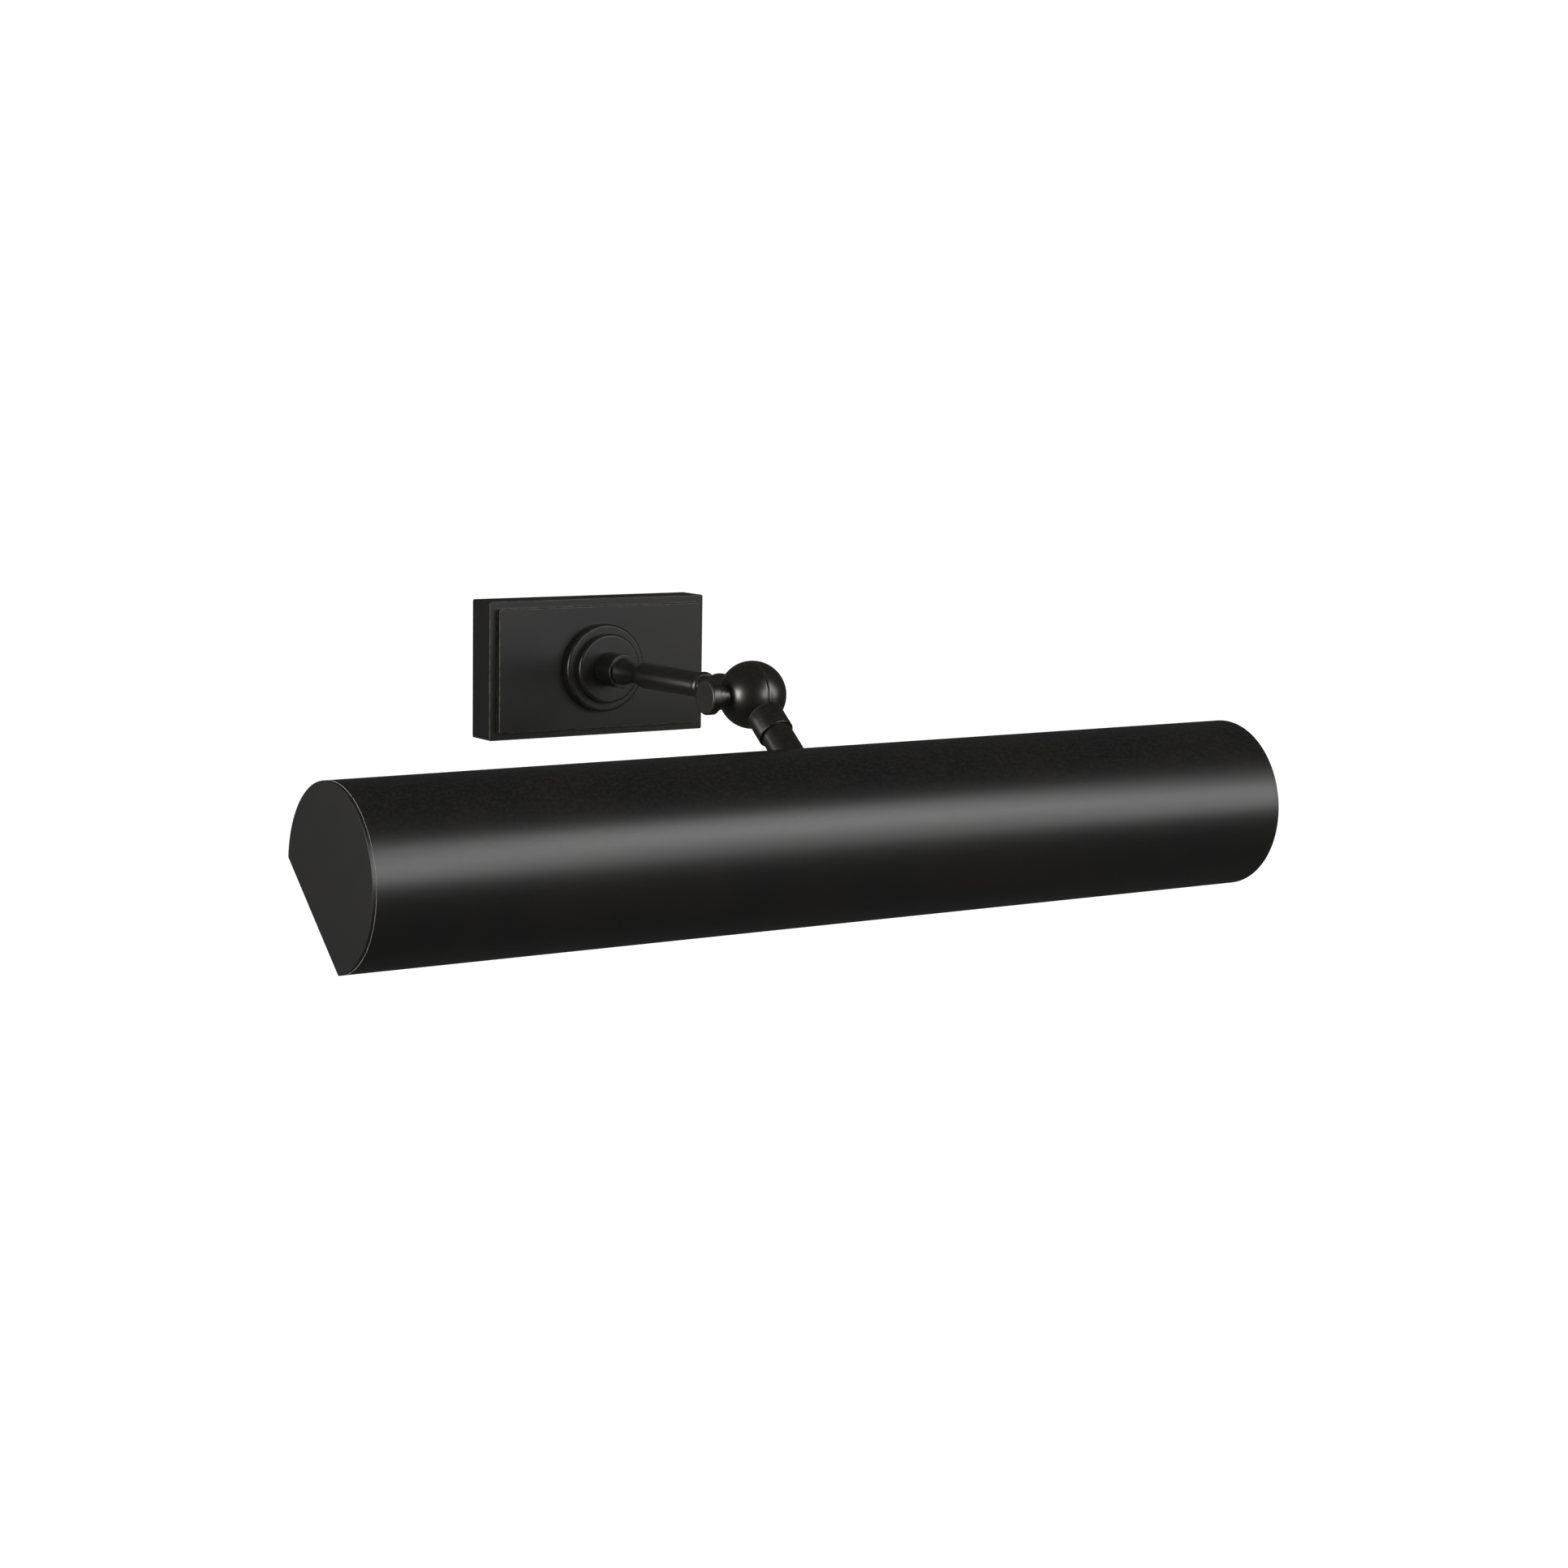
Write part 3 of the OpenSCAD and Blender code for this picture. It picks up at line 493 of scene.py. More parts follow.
def clouds_group():
    """Soft clouds, 0 to 1, for colour and sheen that drift over a surface."""
    group, given, out = new_group(
        "Clouds",
        [
            ("Scale", "Float", 40.0), ("Detail", "Float", 4.0),
            ("Low", "Float", 0.35), ("High", "Float", 0.7),
        ],
        [("Mask", "Float")],
    )
    place_node = node(group, "TexCoord")
    noise = node(
        group, "TexNoise",
        {"Vector": place_node.outputs["Object"], "Scale": given.outputs["Scale"],
         "Detail": given.outputs["Detail"], "Roughness": 0.55},
    )
    ramp = node(
        group, "MapRange",
        {"Value": noise.outputs["Fac"],
         "From Min": given.outputs["Low"], "From Max": given.outputs["High"]},
        interpolation_type="SMOOTHSTEP",
    )
    group.links.new(ramp.outputs["Result"], out.inputs["Mask"])
    return group


def tooth_group():
    """The fine orange-peel and pits of a sprayed or cast surface, as a height."""
    group, given, out = new_group(
        "Fine Tooth",
        [("Scale", "Float", 900.0), ("Stretch", "Vector", (1.0, 1.0, 1.0)), ("Pits", "Float", 0.3)],
        [("Height", "Float"), ("Mask", "Float")],
    )
    place_node = node(group, "TexCoord")
    stretched = node(
        group, "VectorMath", {0: place_node.outputs["Object"], 1: given.outputs["Stretch"]},
        operation="MULTIPLY",
    )
    peel = node(
        group, "TexNoise",
        {"Vector": stretched.outputs[0], "Scale": given.outputs["Scale"],
         "Detail": 3.0, "Roughness": 0.6},
    )
    cells = node(
        group, "TexVoronoi", {"Vector": stretched.outputs[0], "Scale": given.outputs["Scale"]},
        feature="SMOOTH_F1",
    )
    pits = spread(group, cells.outputs["Distance"], 0.0, 0.35, 1.0, 0.0)
    sunk = product(group, pits, given.outputs["Pits"])
    height = node(group, "Math", {0: peel.outputs["Fac"], 1: sunk}, operation="SUBTRACT")
    group.links.new(height.outputs[0], out.inputs["Height"])
    group.links.new(peel.outputs["Fac"], out.inputs["Mask"])
    return group


def edge_wear_and_highlight_group():
    """Edges where handling has thinned the finish, and a painted highlight along the same edges, 0 on
    faces and towards 1 on edges.
    """
    group, given, out = new_group(
        "Edge Wear And Highlight",
        [("Radius", "Float", 0.0006), ("Amount", "Float", 0.6), ("Scale", "Float", 260.0)],
        [("Mask", "Float")],
    )
    surface = node(group, "NewGeometry")
    rounded = node(group, "Bevel", {"Radius": given.outputs["Radius"]}, samples=4)
    facing = node(
        group, "VectorMath", {0: rounded.outputs["Normal"], 1: surface.outputs["Normal"]},
        operation="DOT_PRODUCT",
    )
    # Every edge, whatever its lighting, is marked: this serves as wear and as a painted highlight.
    edge = spread(group, facing.outputs["Value"], 0.997, 0.90)
    place_node = node(group, "TexCoord")
    broken = node(
        group, "TexNoise",
        {"Vector": place_node.outputs["Object"], "Scale": given.outputs["Scale"], "Detail": 5.0},
    )
    patchy = spread(group, broken.outputs["Fac"], 0.38, 0.62)
    worn_and_highlit = product(group, edge, patchy)
    group.links.new(product(group, worn_and_highlit, given.outputs["Amount"]), out.inputs["Mask"])
    return group


def dust_group():
    """Thin dust on what faces up, 0 to 1."""
    group, given, out = new_group(
        "Settled Dust",
        [("Amount", "Float", 0.3), ("Scale", "Float", 350.0)],
        [("Mask", "Float")],
    )
    place_node = node(group, "TexCoord")
    parts = node(group, "SeparateXYZ", {"Vector": place_node.outputs["Normal"]})
    upward = spread(group, parts.outputs["Z"], 0.35, 1.0)
    specks = node(
        group, "TexNoise",
        {"Vector": place_node.outputs["Object"], "Scale": given.outputs["Scale"], "Detail": 8.0},
    )
    grain = spread(group, specks.outputs["Fac"], 0.42, 0.75)
    lying = product(group, upward, grain)
    group.links.new(product(group, lying, given.outputs["Amount"]), out.inputs["Mask"])
    return group


EFFECTS = {
    "Clouds": clouds_group,
    "Fine Tooth": tooth_group,
    "Edge Wear And Highlight": edge_wear_and_highlight_group,
    "Settled Dust": dust_group,
}


def effect(tree, name, **inputs):
    """A shared effect placed in a material, built on first use."""
    group = bpy.data.node_groups.get(name) or EFFECTS[name]()
    made = tree.nodes.new("ShaderNodeGroup")
    made.node_tree = group
    for label, value in inputs.items():
        made.inputs[label].default_value = value
    return made


# ---- Finishes ----


def new_material(**plain):
    """A material with its plain shader values set, and its tree and shader."""
    material = bpy.data.materials.new("Finish")
    material.use_nodes = True
    shader = material.node_tree.nodes["Principled BSDF"]
    for label, value in plain.items():
        shader.inputs[label.replace("_", " ")].default_value = value
    return material, material.node_tree, shader


def blend_colour(tree, mask, one, other):
    """A colour that goes from one to the other as the mask rises."""
    mix = node(tree, "Mix", {"Factor": mask}, data_type="RGBA")
    for index, value in ((6, one), (7, other)):
        if isinstance(value, bpy.types.NodeSocket):
            tree.links.new(value, mix.inputs[index])
        else:
            mix.inputs[index].default_value = (*value, 1)
    return mix.outputs[2]


def blend_value(tree, mask, low, high):
    """A number that goes from low to high as the mask rises."""
    return spread(tree, mask, 0.0, 1.0, low, high)


def feed(shader, label, source):
    """Links a socket to one of the shader's inputs."""
    shader.id_data.links.new(source, shader.inputs[label])


def bump(tree, shader, height, depth):
    """Feeds a height, this many metres deep, to the shader's normal."""
    made = node(tree, "Bump", {"Height": height, "Distance": depth, "Strength": 1.0})
    feed(shader, "Normal", made.outputs["Normal"])


def bronze_lacquer(tooth_scale, stretch, rubbed, roughness, coat, **plain):
    """Satin dark bronze lacquer over brass, with browner clouds and lighter edges that are partly worn
    lacquer and partly a painted highlight.
    """
    look = settings().finish
    material, tree, shader = new_material(Coat_Roughness=0.2, Coat_IOR=1.5, **plain)
    clouds = effect(tree, "Clouds", Scale=26.0, Detail=5.0, Low=0.38, High=0.68)
    tooth = effect(tree, "Fine Tooth", Scale=tooth_scale, Stretch=stretch, Pits=0.25)
    edges = effect(tree, "Edge Wear And Highlight", Radius=0.0007, Amount=rubbed, Scale=420.0)
    dust = effect(tree, "Settled Dust", Amount=0.035, Scale=700.0)
    base = blend_colour(tree, clouds.outputs["Mask"], look.bronze, look.bronze_warm)
    # Edges blend to a much lighter colour: partly worn lacquer, partly a painted highlight along the
    # rims.
    worn_and_highlit = blend_colour(tree, edges.outputs["Mask"], base, look.bronze_edge_wear_and_highlight)
    dusted = blend_colour(tree, dust.outputs["Mask"], worn_and_highlit, (0.22, 0.21, 0.19))
    feed(shader, "Base Color", dusted)
    rough = blend_value(tree, tooth.outputs["Mask"], roughness - 0.04, roughness + 0.04)
    feed(shader, "Roughness", rough)
    feed(shader, "Metallic", blend_value(tree, edges.outputs["Mask"], 0.05, 0.7))
    feed(shader, "Coat Weight", blend_value(tree, clouds.outputs["Mask"], coat, 0.8 * coat))
    bump(tree, shader, tooth.outputs["Height"], 0.006 * MM)
    return material


def aged_bronze():
    return bronze_lacquer(
        1400.0, (1.0, 1.0, 1.0), 0.7, settings().finish.bronze_roughness, 0.1,
        Specular_IOR_Level=0.62, Specular_Tint=(1.0, 0.98, 0.90, 1.0),
    )


def canopy_bronze():
    return bronze_lacquer(
        1400.0, (1.0, 1.0, 1.0), 0.85, settings().finish.satin_roughness, 0.0, Specular_IOR_Level=0.32
    )


def shade_bronze():
    return bronze_lacquer(1100.0, (0.35, 1.0, 1.0), 0.12, settings().finish.satin_roughness, 0.0)


def white_enamel():
    """Baked enamel inside the shade: warm white, faintly toned and peeled."""
    look = settings().finish
    material, tree, shader = new_material(Coat_Roughness=0.15)
    clouds = effect(tree, "Clouds", Scale=18.0, Detail=4.0, Low=0.3, High=0.75)
    tooth = effect(tree, "Fine Tooth", Scale=700.0, Stretch=(1.0, 1.0, 1.0), Pits=0.15)
    toned = tuple(channel * tint for channel, tint in zip(look.enamel, (0.93, 0.90, 0.84)))
    feed(shader, "Base Color", blend_colour(tree, clouds.outputs["Mask"], look.enamel, toned))
    feed(shader, "Roughness", blend_value(tree, tooth.outputs["Mask"], 0.24, 0.42))
    feed(shader, "Coat Weight", blend_value(tree, clouds.outputs["Mask"], 0.3, 0.15))
    bump(tree, shader, tooth.outputs["Height"], 0.012 * MM)
    return material


def plated_metal(base, stained, roughness, cloud_scale=90.0, rubbed=0.4):
    """Metal with stains that drift, a fine grain and brighter edges."""
    material, tree, shader = new_material()
    clouds = effect(tree, "Clouds", Scale=cloud_scale, Detail=6.0, Low=0.35, High=0.7)
    tooth = effect(tree, "Fine Tooth", Scale=1800.0, Stretch=(1.0, 0.25, 1.0), Pits=0.4)
    edges = effect(tree, "Edge Wear And Highlight", Radius=0.0004, Amount=rubbed, Scale=500.0)
    bright = tuple(min(1.0, channel * 1.35) for channel in base)
    body = blend_colour(tree, clouds.outputs["Mask"], base, stained)
    feed(shader, "Base Color", blend_colour(tree, edges.outputs["Mask"], body, bright))
    feed(shader, "Metallic", blend_value(tree, clouds.outputs["Mask"], 1.0, 0.9))
    feed(
        shader, "Roughness",
        blend_value(tree, tooth.outputs["Mask"], roughness - 0.08, roughness + 0.10),
    )
    bump(tree, shader, tooth.outputs["Height"], 0.008 * MM)
    return material


def zinc_steel():
    zinc = settings().finish.zinc
    return plated_metal(zinc, tuple(c * t for c, t in zip(zinc, (0.80, 0.76, 0.66))), 0.36)


def dark_steel():
    return plated_metal((0.055, 0.051, 0.047), (0.030, 0.027, 0.024), 0.34, 400.0, 0.7)


def brass():
    tone = settings().finish.brass
    return plated_metal(tone, tuple(c * t for c, t in zip(tone, (0.72, 0.66, 0.60))), 0.30)


def ground_green():
    return plated_metal((0.06, 0.30, 0.11), (0.04, 0.20, 0.09), 0.38, 200.0, 0.6)


def moulded(base, toned, roughness, tooth_scale=900.0, depth=0.01, **plain):
    """Moulded plastic, fibre or insulation with a matt grain and slight toning."""
    material, tree, shader = new_material(**plain)
    clouds = effect(tree, "Clouds", Scale=120.0, Detail=5.0, Low=0.3, High=0.75)
    tooth = effect(tree, "Fine Tooth", Scale=tooth_scale, Stretch=(1.0, 1.0, 1.0), Pits=0.3)
    dust = effect(tree, "Settled Dust", Amount=0.05, Scale=600.0)
    body = blend_colour(tree, clouds.outputs["Mask"], base, toned)
    feed(shader, "Base Color", blend_colour(tree, dust.outputs["Mask"], body, (0.45, 0.43, 0.40)))
    feed(
        shader, "Roughness",
        blend_value(tree, tooth.outputs["Mask"], roughness - 0.08, roughness + 0.08),
    )
    bump(tree, shader, tooth.outputs["Height"], depth * MM)
    return material


def fibre():
    return moulded((0.034, 0.022, 0.015), (0.024, 0.015, 0.010), 0.75, 1500.0, 0.03)


def nylon():
    return moulded((0.78, 0.75, 0.66), (0.70, 0.66, 0.55), 0.42, Subsurface_Weight=0.15)


def socket_white():
    return moulded((0.74, 0.72, 0.66), (0.66, 0.63, 0.56), 0.38)


def orange_cap():
    return moulded((0.62, 0.19, 0.045), (0.52, 0.14, 0.035), 0.40)


def lead_black():
    return moulded((0.016, 0.016, 0.017), (0.024, 0.023, 0.023), 0.42, 1600.0, 0.006)


def lead_white():
    return moulded((0.76, 0.75, 0.71), (0.68, 0.66, 0.60), 0.42, 1600.0, 0.006)


def lead_green():
    return moulded((0.05, 0.25, 0.085), (0.04, 0.19, 0.07), 0.42, 1600.0, 0.006)


def bulb_glass():
    """Thin clear glass with faint waves."""
    material, tree, shader = new_material(Transmission_Weight=1.0, IOR=1.47, Metallic=0.0)
    clouds = effect(tree, "Clouds", Scale=70.0, Detail=3.0, Low=0.3, High=0.8)
    feed(
        shader, "Base Color",
        blend_colour(tree, clouds.outputs["Mask"], (0.97, 0.97, 0.95), (0.93, 0.94, 0.92)),
    )
    feed(shader, "Roughness", blend_value(tree, clouds.outputs["Mask"], 0.02, 0.06))
    bump(tree, shader, clouds.outputs["Mask"], 0.02 * MM)
    return material


def filament():
    return plated_metal((0.34, 0.32, 0.29), (0.22, 0.20, 0.18), 0.42, 300.0, 0.2)


def finish(maker):
    """The material that a finish's function makes, made once."""
    title = maker.__name__.replace("_", " ").title()
    if title not in bpy.data.materials:
        maker().name = title
    return bpy.data.materials[title]


# ---- Pieces on the wall's side ----


def slab(name, width, height, back, front, corner, edge=0):
    """A plate facing out from the wall, with rounded corners and a rounded front rim."""
    made = add_primitive(
        name, bpy.ops.mesh.primitive_cube_add,
        size=1, location=(0, -(back + front) / 2, 0), scale=(width, front - back, height),
    )
    place(made, made.matrix_world.copy())

    def ends(line):
        """Y of both ends of an edge."""
        return [made.data.vertices[index].co.y for index in line.vertices]

    select_edges(made, lambda line: abs(ends(line)[0] - ends(line)[1]) > SAME_PLANE)
    bpy.ops.mesh.bevel(offset=corner, segments=8, affect="EDGES")
    leave_edit()
    if edge:
        select_edges(made, lambda line: max(ends(line)) < SAME_PLANE - front)
        bpy.ops.mesh.bevel(offset=edge, segments=3, affect="EDGES")
        leave_edit()
    return made


def make_canopy():
    """Box cover: bevelled sides, raised front panel, hollow back, screw recesses."""
    sizes = settings().canopy
    low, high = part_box("canopy")
    width, height = high.x - low.x, high.z - low.z
    front = high.y - low.y
    step = front - sizes.panel_rise
    corner, wall, over = sizes.corner, sizes.wall, 2 * MM
    hole, chamfer, boss_gap = 2.1 * MM, 0.25 * MM, 0.4 * MM
    bore_gap, bore_length, bore_start = 0.1 * MM, 9 * MM, 3 * MM
    canopy = slab("canopy_cover", width, height, 0, step, corner, sizes.edge)
    margin = 2 * sizes.panel_inset
    panel = slab("panel", width - margin, height - margin, step - wall / 2, front, corner, sizes.edge)
    combine(canopy, panel, "UNION")
    inner = slab("inner", width - 2 * wall, height - 2 * wall, -over, step - wall, corner / 2)
    combine(canopy, inner, "DIFFERENCE")
    margin += 2 * wall
    inner = slab("inner", width - margin, height - margin, wall, front - wall, corner / 2)
    combine(canopy, inner, "DIFFERENCE")
    floor = sizes.recess_depth + 1.4 * MM
    for side in (-1, 1):
        upright = Matrix.Rotation(math.radians(90 - 90 * side), 4, "X")
        spot = Matrix.Translation((0, -sizes.screw_out, high.z * side)) @ upright
        boss = cylinder("boss", sizes.recess_radius + wall, floor - boss_gap)
        place(boss, spot @ Matrix.Translation((0, 0, -floor)))
        combine(canopy, boss, "UNION")
        radius, rim = sizes.recess_radius, sizes.recess_radius + chamfer
        recess = Outline("recess", (0, -floor - MM)).line((hole, -floor - MM))
        recess.line((hole, -sizes.recess_depth), (radius, -sizes.recess_depth))
        recess.line((radius, -chamfer), (rim, 0), (rim, MM), (0, MM))
        cut = recess.turned()
        place(cut, spot)
        combine(canopy, cut, "DIFFERENCE")
    bore = cylinder("bore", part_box("nipple")[1].x + bore_gap, bore_length)
    place(bore, out_from_wall(step - bore_start))
    combine(canopy, bore, "DIFFERENCE")
    tidy_surface(canopy)
    soften(canopy)
    return hand_over(canopy, "root", "aged_bronze", [finish(canopy_bronze)], "canopy")


def make_canopy_screws():
    """Slotted pan-head screws in the canopy's recesses."""
    sizes = settings().canopy
    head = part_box("canopy_screws")[1].x
    rise, shank, below = sizes.recess_depth - 0.1 * MM, 1.95 * MM, 9 * MM
    tip, rounding, slot_turn = 0.3 * MM, 0.7 * MM, math.radians(24)
    drawn = Outline("canopy_screw_upper", (0, -below))
    drawn.line((shank - tip, -below), (shank, tip - below), (shank, 0), (head, 0))
    drawn.line((head, rise - rounding)).arc((head - rounding, rise - rounding), 90, 5)
    upper = drawn.line((0, rise)).turned()
    slot = add_primitive(
        "slot", bpy.ops.mesh.primitive_cube_add,
        size=1, location=(0, 0, rise), scale=(3 * head, sizes.slot_width, rise),
    )
    place(slot, Matrix.Rotation(slot_turn, 4, "Z") @ slot.matrix_world)
    combine(upper, slot, "DIFFERENCE")
    soften(upper)
    lower = copy_of(upper, "canopy_screw_lower")
    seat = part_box("canopy")[1].z - sizes.recess_depth
    for screw, angle, side in ((upper, 0, 1), (lower, 180, -1)):
        upright = Matrix.Rotation(math.radians(angle), 4, "X")
        place(screw, Matrix.Translation((0, -sizes.screw_out, seat * side)) @ upright)
    hand_over(lower, "root", "dark_steel", [finish(dark_steel)])
    return hand_over(upper, "root", "dark_steel", [finish(dark_steel)], "canopy_screws")


def make_disc(name, node_name, front_edge):
    """A disc turned to a rounded front edge, seated where its node is."""
    low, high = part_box(node_name)
    thick, radius = high.y - low.y, high.x
    back, bore = settings().arm.disc_back, 5.1 * MM
    drawn = Outline(name, (bore, 0)).line((radius - back, 0)).arc((radius - back, back), 90, 3)
    drawn.line((radius, thick - front_edge)).arc((radius - front_edge, thick - front_edge), 90, 8)
    disc = drawn.line((bore, thick)).close().turned()
    place(disc, out_from_wall(-high.y))
    soften(disc)
    return hand_over(disc, "root", "aged_bronze", [finish(canopy_bronze)], node_name)


def make_arm():
    """Turned arm: cove, swelling, long taper and end ring."""
    sizes = settings().arm
    root_at = -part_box("hub")[0].y
    reach = -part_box("arm")[0].y - root_at
    spigot, spigot_start, edge = 5 * MM, -6 * MM, 0.2 * MM
    socket, socket_depth = 4.05 * MM, 10.5 * MM
    drawn = Outline("arm_turned", (sizes.bore, spigot_start))
    drawn.line((spigot, spigot_start), (spigot, 0), (sizes.root_radius - edge, 0))
    drawn.line((sizes.root_radius, edge))
    cove, flare = 14, sizes.root_radius - sizes.waist_radius
    for step in range(1, cove + 1):
        t = step / cove
        drawn.line((
            sizes.waist_radius + flare * (1 - t) ** 2, edge + t * (sizes.waist_at - edge),
        ))
    swell = sizes.belly_radius - sizes.waist_radius
    for step in range(1, cove + 1):
        t = step / cove
        drawn.line((
            sizes.waist_radius + swell * (1 - math.cos(math.pi * t)) / 2,
            sizes.waist_at + t * (sizes.belly_at - sizes.waist_at),
        ))
    ring_at = reach - sizes.ring_width
    drawn.line((sizes.tip_radius, ring_at - 0.6 * MM))
    drawn.line((sizes.tip_radius - 0.12 * MM, ring_at - 0.2 * MM))
    bulge = sizes.ring_radius - sizes.tip_radius
    for step in range(13):
        t = step / 12
        swollen = sizes.tip_radius + bulge * math.sin(math.pi * t) ** 0.7
        drawn.line((swollen, ring_at + sizes.ring_width * t))
    drawn.line((socket, reach), (socket, reach - socket_depth), (sizes.bore, reach - socket_depth))
    arm = drawn.close().turned()
    place(arm, out_from_wall(root_at))
    soften(arm, 40, weighted=False)
    return hand_over(arm, "root", "aged_bronze", [finish(aged_bronze)], "arm")


# ---- Knuckle ----


def half_ball(name, face_x, side, radius):
    """The part of a ball on one side of a plane across X."""
    made = ball(name, radius)
    edit(made, "VERT")
    bpy.ops.mesh.select_all(action="SELECT")
    bpy.ops.mesh.bisect(
        plane_co=(face_x, 0, 0), plane_no=(1, 0, 0), use_fill=True,
        clear_inner=side > 0, clear_outer=side < 0,
    )
    leave_edit()
    tidy_surface(made)
    return made


def add_half_ball(piece, face, side, radius):
    """Gives the neck or the collar its half of the ball and clears the sweep of the other."""
    sizes = settings().knuckle
    sweep = half_ball("sweep", face, -side, radius + sizes.sweep_gap)
    place(sweep, Matrix.Translation(BALL))
    combine(piece, sweep, "DIFFERENCE")
    half = half_ball("half", face, side, radius)
    round_edges(half, sizes.seam_edge, 2, 50)
    place(half, Matrix.Translation(BALL))
    combine(piece, half, "UNION")


def cut_chamber(piece, start):
    """Hollows out the chamber for the leads, from this distance along X."""
    hollow = cylinder("hollow", 8.6 * MM, 5.6 * MM)
    place(hollow, along_x(start))
    combine(piece, hollow, "DIFFERENCE")


def make_neck():
    """The neck that joins arm and ball: narrow stretch, bead and throat."""
    sizes = settings().knuckle
    arm_end = -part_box("arm")[0].y
    reach = -BALL.y - arm_end
    drawn = Outline("knuckle_neck_half", (0, -10 * MM))
    drawn.line((4 * MM, -10 * MM), (4 * MM, 0), (5.1 * MM, 0), (sizes.neck_radius, 1.4 * MM))
    top = reach - sizes.bead_at
    steps = 20
    for step in range(steps + 1):
        t = math.sin(math.pi * (step / steps - 0.5))
        start = sizes.neck_radius if t < 0 else sizes.throat_radius
        drawn.line((
            start + (sizes.bead_radius - start) * math.sqrt(max(0.0, 1 - t * t)),
            top + t * sizes.bead_half,
        ))
    drawn.line((sizes.throat_radius, reach - 6 * MM), (0, reach - 6 * MM))
    neck = drawn.turned()
    place(neck, out_from_wall(arm_end))
    return neck


def make_knuckle_arm_half():
    """The arm's half of the ball, one piece with the neck, with the knob's seat."""
    sizes = settings().knuckle
    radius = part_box("knuckle_shade_half")[1].x
    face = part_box("friction_washer")[0].x
    neck = make_neck()
    add_half_ball(neck, face, -1, radius)
    seat = cylinder("seat", sizes.seat_radius, radius)
    seat_x = -math.sqrt(radius**2 - sizes.seat_radius**2)
    place(seat, along_x(seat_x - radius))
    combine(neck, seat, "DIFFERENCE")
    cut_chamber(neck, face - 4.6 * MM)
    tidy_surface(neck)
    soften(neck, 30, weighted=False)
    return hand_over(neck, "root", "aged_bronze", [finish(aged_bronze)], "knuckle_arm_half")


def make_knuckle_shade_half():
    """The shade's half of the ball, one piece with the collar that holds the stem."""
    sizes = settings().knuckle
    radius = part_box("knuckle_shade_half")[1].x
    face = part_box("friction_washer")[0].x + sizes.seam_gap
    outer, reach, start = sizes.collar_radius, sizes.collar_reach, 4 * MM
    bore, lip, seat = sizes.stem_radius + 0.06 * MM, sizes.collar_lip, reach - 7.2 * MM
    edge, inner_edge = 0.3 * MM, 0.12 * MM
    drawn = Outline("knuckle_collar_half", (0, start))
    drawn.line((outer, start), (outer, reach - edge)).arc((outer - edge, reach - edge), 90, 4)
    drawn.line((outer - lip + inner_edge, reach))
    drawn.arc((outer - lip + inner_edge, reach - inner_edge), 90, 3)
    drawn.line((outer - lip, reach - sizes.collar_recess), (bore, reach - sizes.collar_recess))
    drawn.line((bore, seat), (0, seat))
    collar = drawn.turned()
    place(collar, down_stem())
    add_half_ball(collar, face, 1, radius)
    cut_chamber(collar, face - MM)
    tidy_surface(collar)
    soften(collar, 30, weighted=False)
    return hand_over(collar, "shade_head", "aged_bronze", [finish(aged_bronze)], "knuckle_shade_half")


def make_knob_washer():
    """Flanged washer between the ball and the knob."""
    sizes = settings().knuckle
    low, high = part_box("knob_washer")
    flange, thick, bore = high.z, sizes.flange_thickness, 2.6 * MM
    neck, reach = sizes.seat_radius - 0.12 * MM, high.x - low.x
    edge, cove = 0.45 * MM, 0.5 * MM
    drawn = Outline("knob_flange", (bore, 0)).line((flange - edge, 0)).arc((flange - edge, edge), 90, 4)
    drawn.line((flange, thick - edge)).arc((flange - edge, thick - edge), 90, 4)
    drawn.line((neck + cove, thick)).arc((neck + cove, thick + cove), -90, 4)
    washer = drawn.line((neck, reach), (bore, reach)).close().turned()
    place(washer, along_x(low.x))
    soften(washer)
    return hand_over(washer, "knob_carriage", "aged_bronze", [finish(aged_bronze)], "knob_washer")


def make_knob():
    """Clamp knob: a thick disc with rounded rims and a shallow dished face."""
    sizes = settings().knuckle
    low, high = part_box("clamp_knob")
    radius, front, back = high.z, sizes.knob_front, sizes.knob_back
    step, bore, waist, bore_floor = 0.4 * MM, 2.55 * MM, 5.2 * MM, 1.6 * MM
    thick = high.x - low.x - step
    drawn = Outline("knob_disc", (0, 0.06 * MM)).line((radius - 1.6 * front, 0))
    drawn.line((radius - front, 0)).arc((radius - front, front), 90, 6)
    drawn.line((radius, thick - back)).arc((radius - back, thick - back), 90, 4)
    drawn.line((waist, thick), (waist, thick + step), (bore, thick + step))
    knob = drawn.line((bore, bore_floor), (0, bore_floor)).turned()
    place(knob, along_x(low.x))
    soften(knob)
    return hand_over(knob, "knob", "aged_bronze", [finish(aged_bronze)], "clamp_knob")


def make_stem():
    """Stem tube from the collar into the shade, with a narrow groove at the collar's end."""
    sizes = settings().knuckle
    reach, edge = sizes.stem_end - sizes.stem_start, 0.2 * MM
    outer, bore, groove = sizes.stem_radius, sizes.stem_bore, sizes.stem_radius - sizes.groove_depth
    at = sizes.collar_reach - sizes.stem_start
    past = at + sizes.groove_width
    drawn = Outline("stem_tube", (bore, 0)).line((outer - edge, 0)).arc((outer - edge, edge), 90, 3)
    drawn.line((outer, at - 0.5 * MM), (groove, at - 0.3 * MM), (groove, past - 0.1 * MM))
    drawn.line((groove + 0.1 * MM, past), (outer - edge, past)).arc((outer - edge, past + edge), 90, 3)
    drawn.line((outer, reach - edge)).arc((outer - edge, reach - edge), 90, 3)
    stem = drawn.line((bore, reach)).close().turned()
    place(stem, down_stem(sizes.stem_start))
    soften(stem)
    return hand_over(stem, "shade_head", "aged_bronze", [finish(aged_bronze)], "stem")


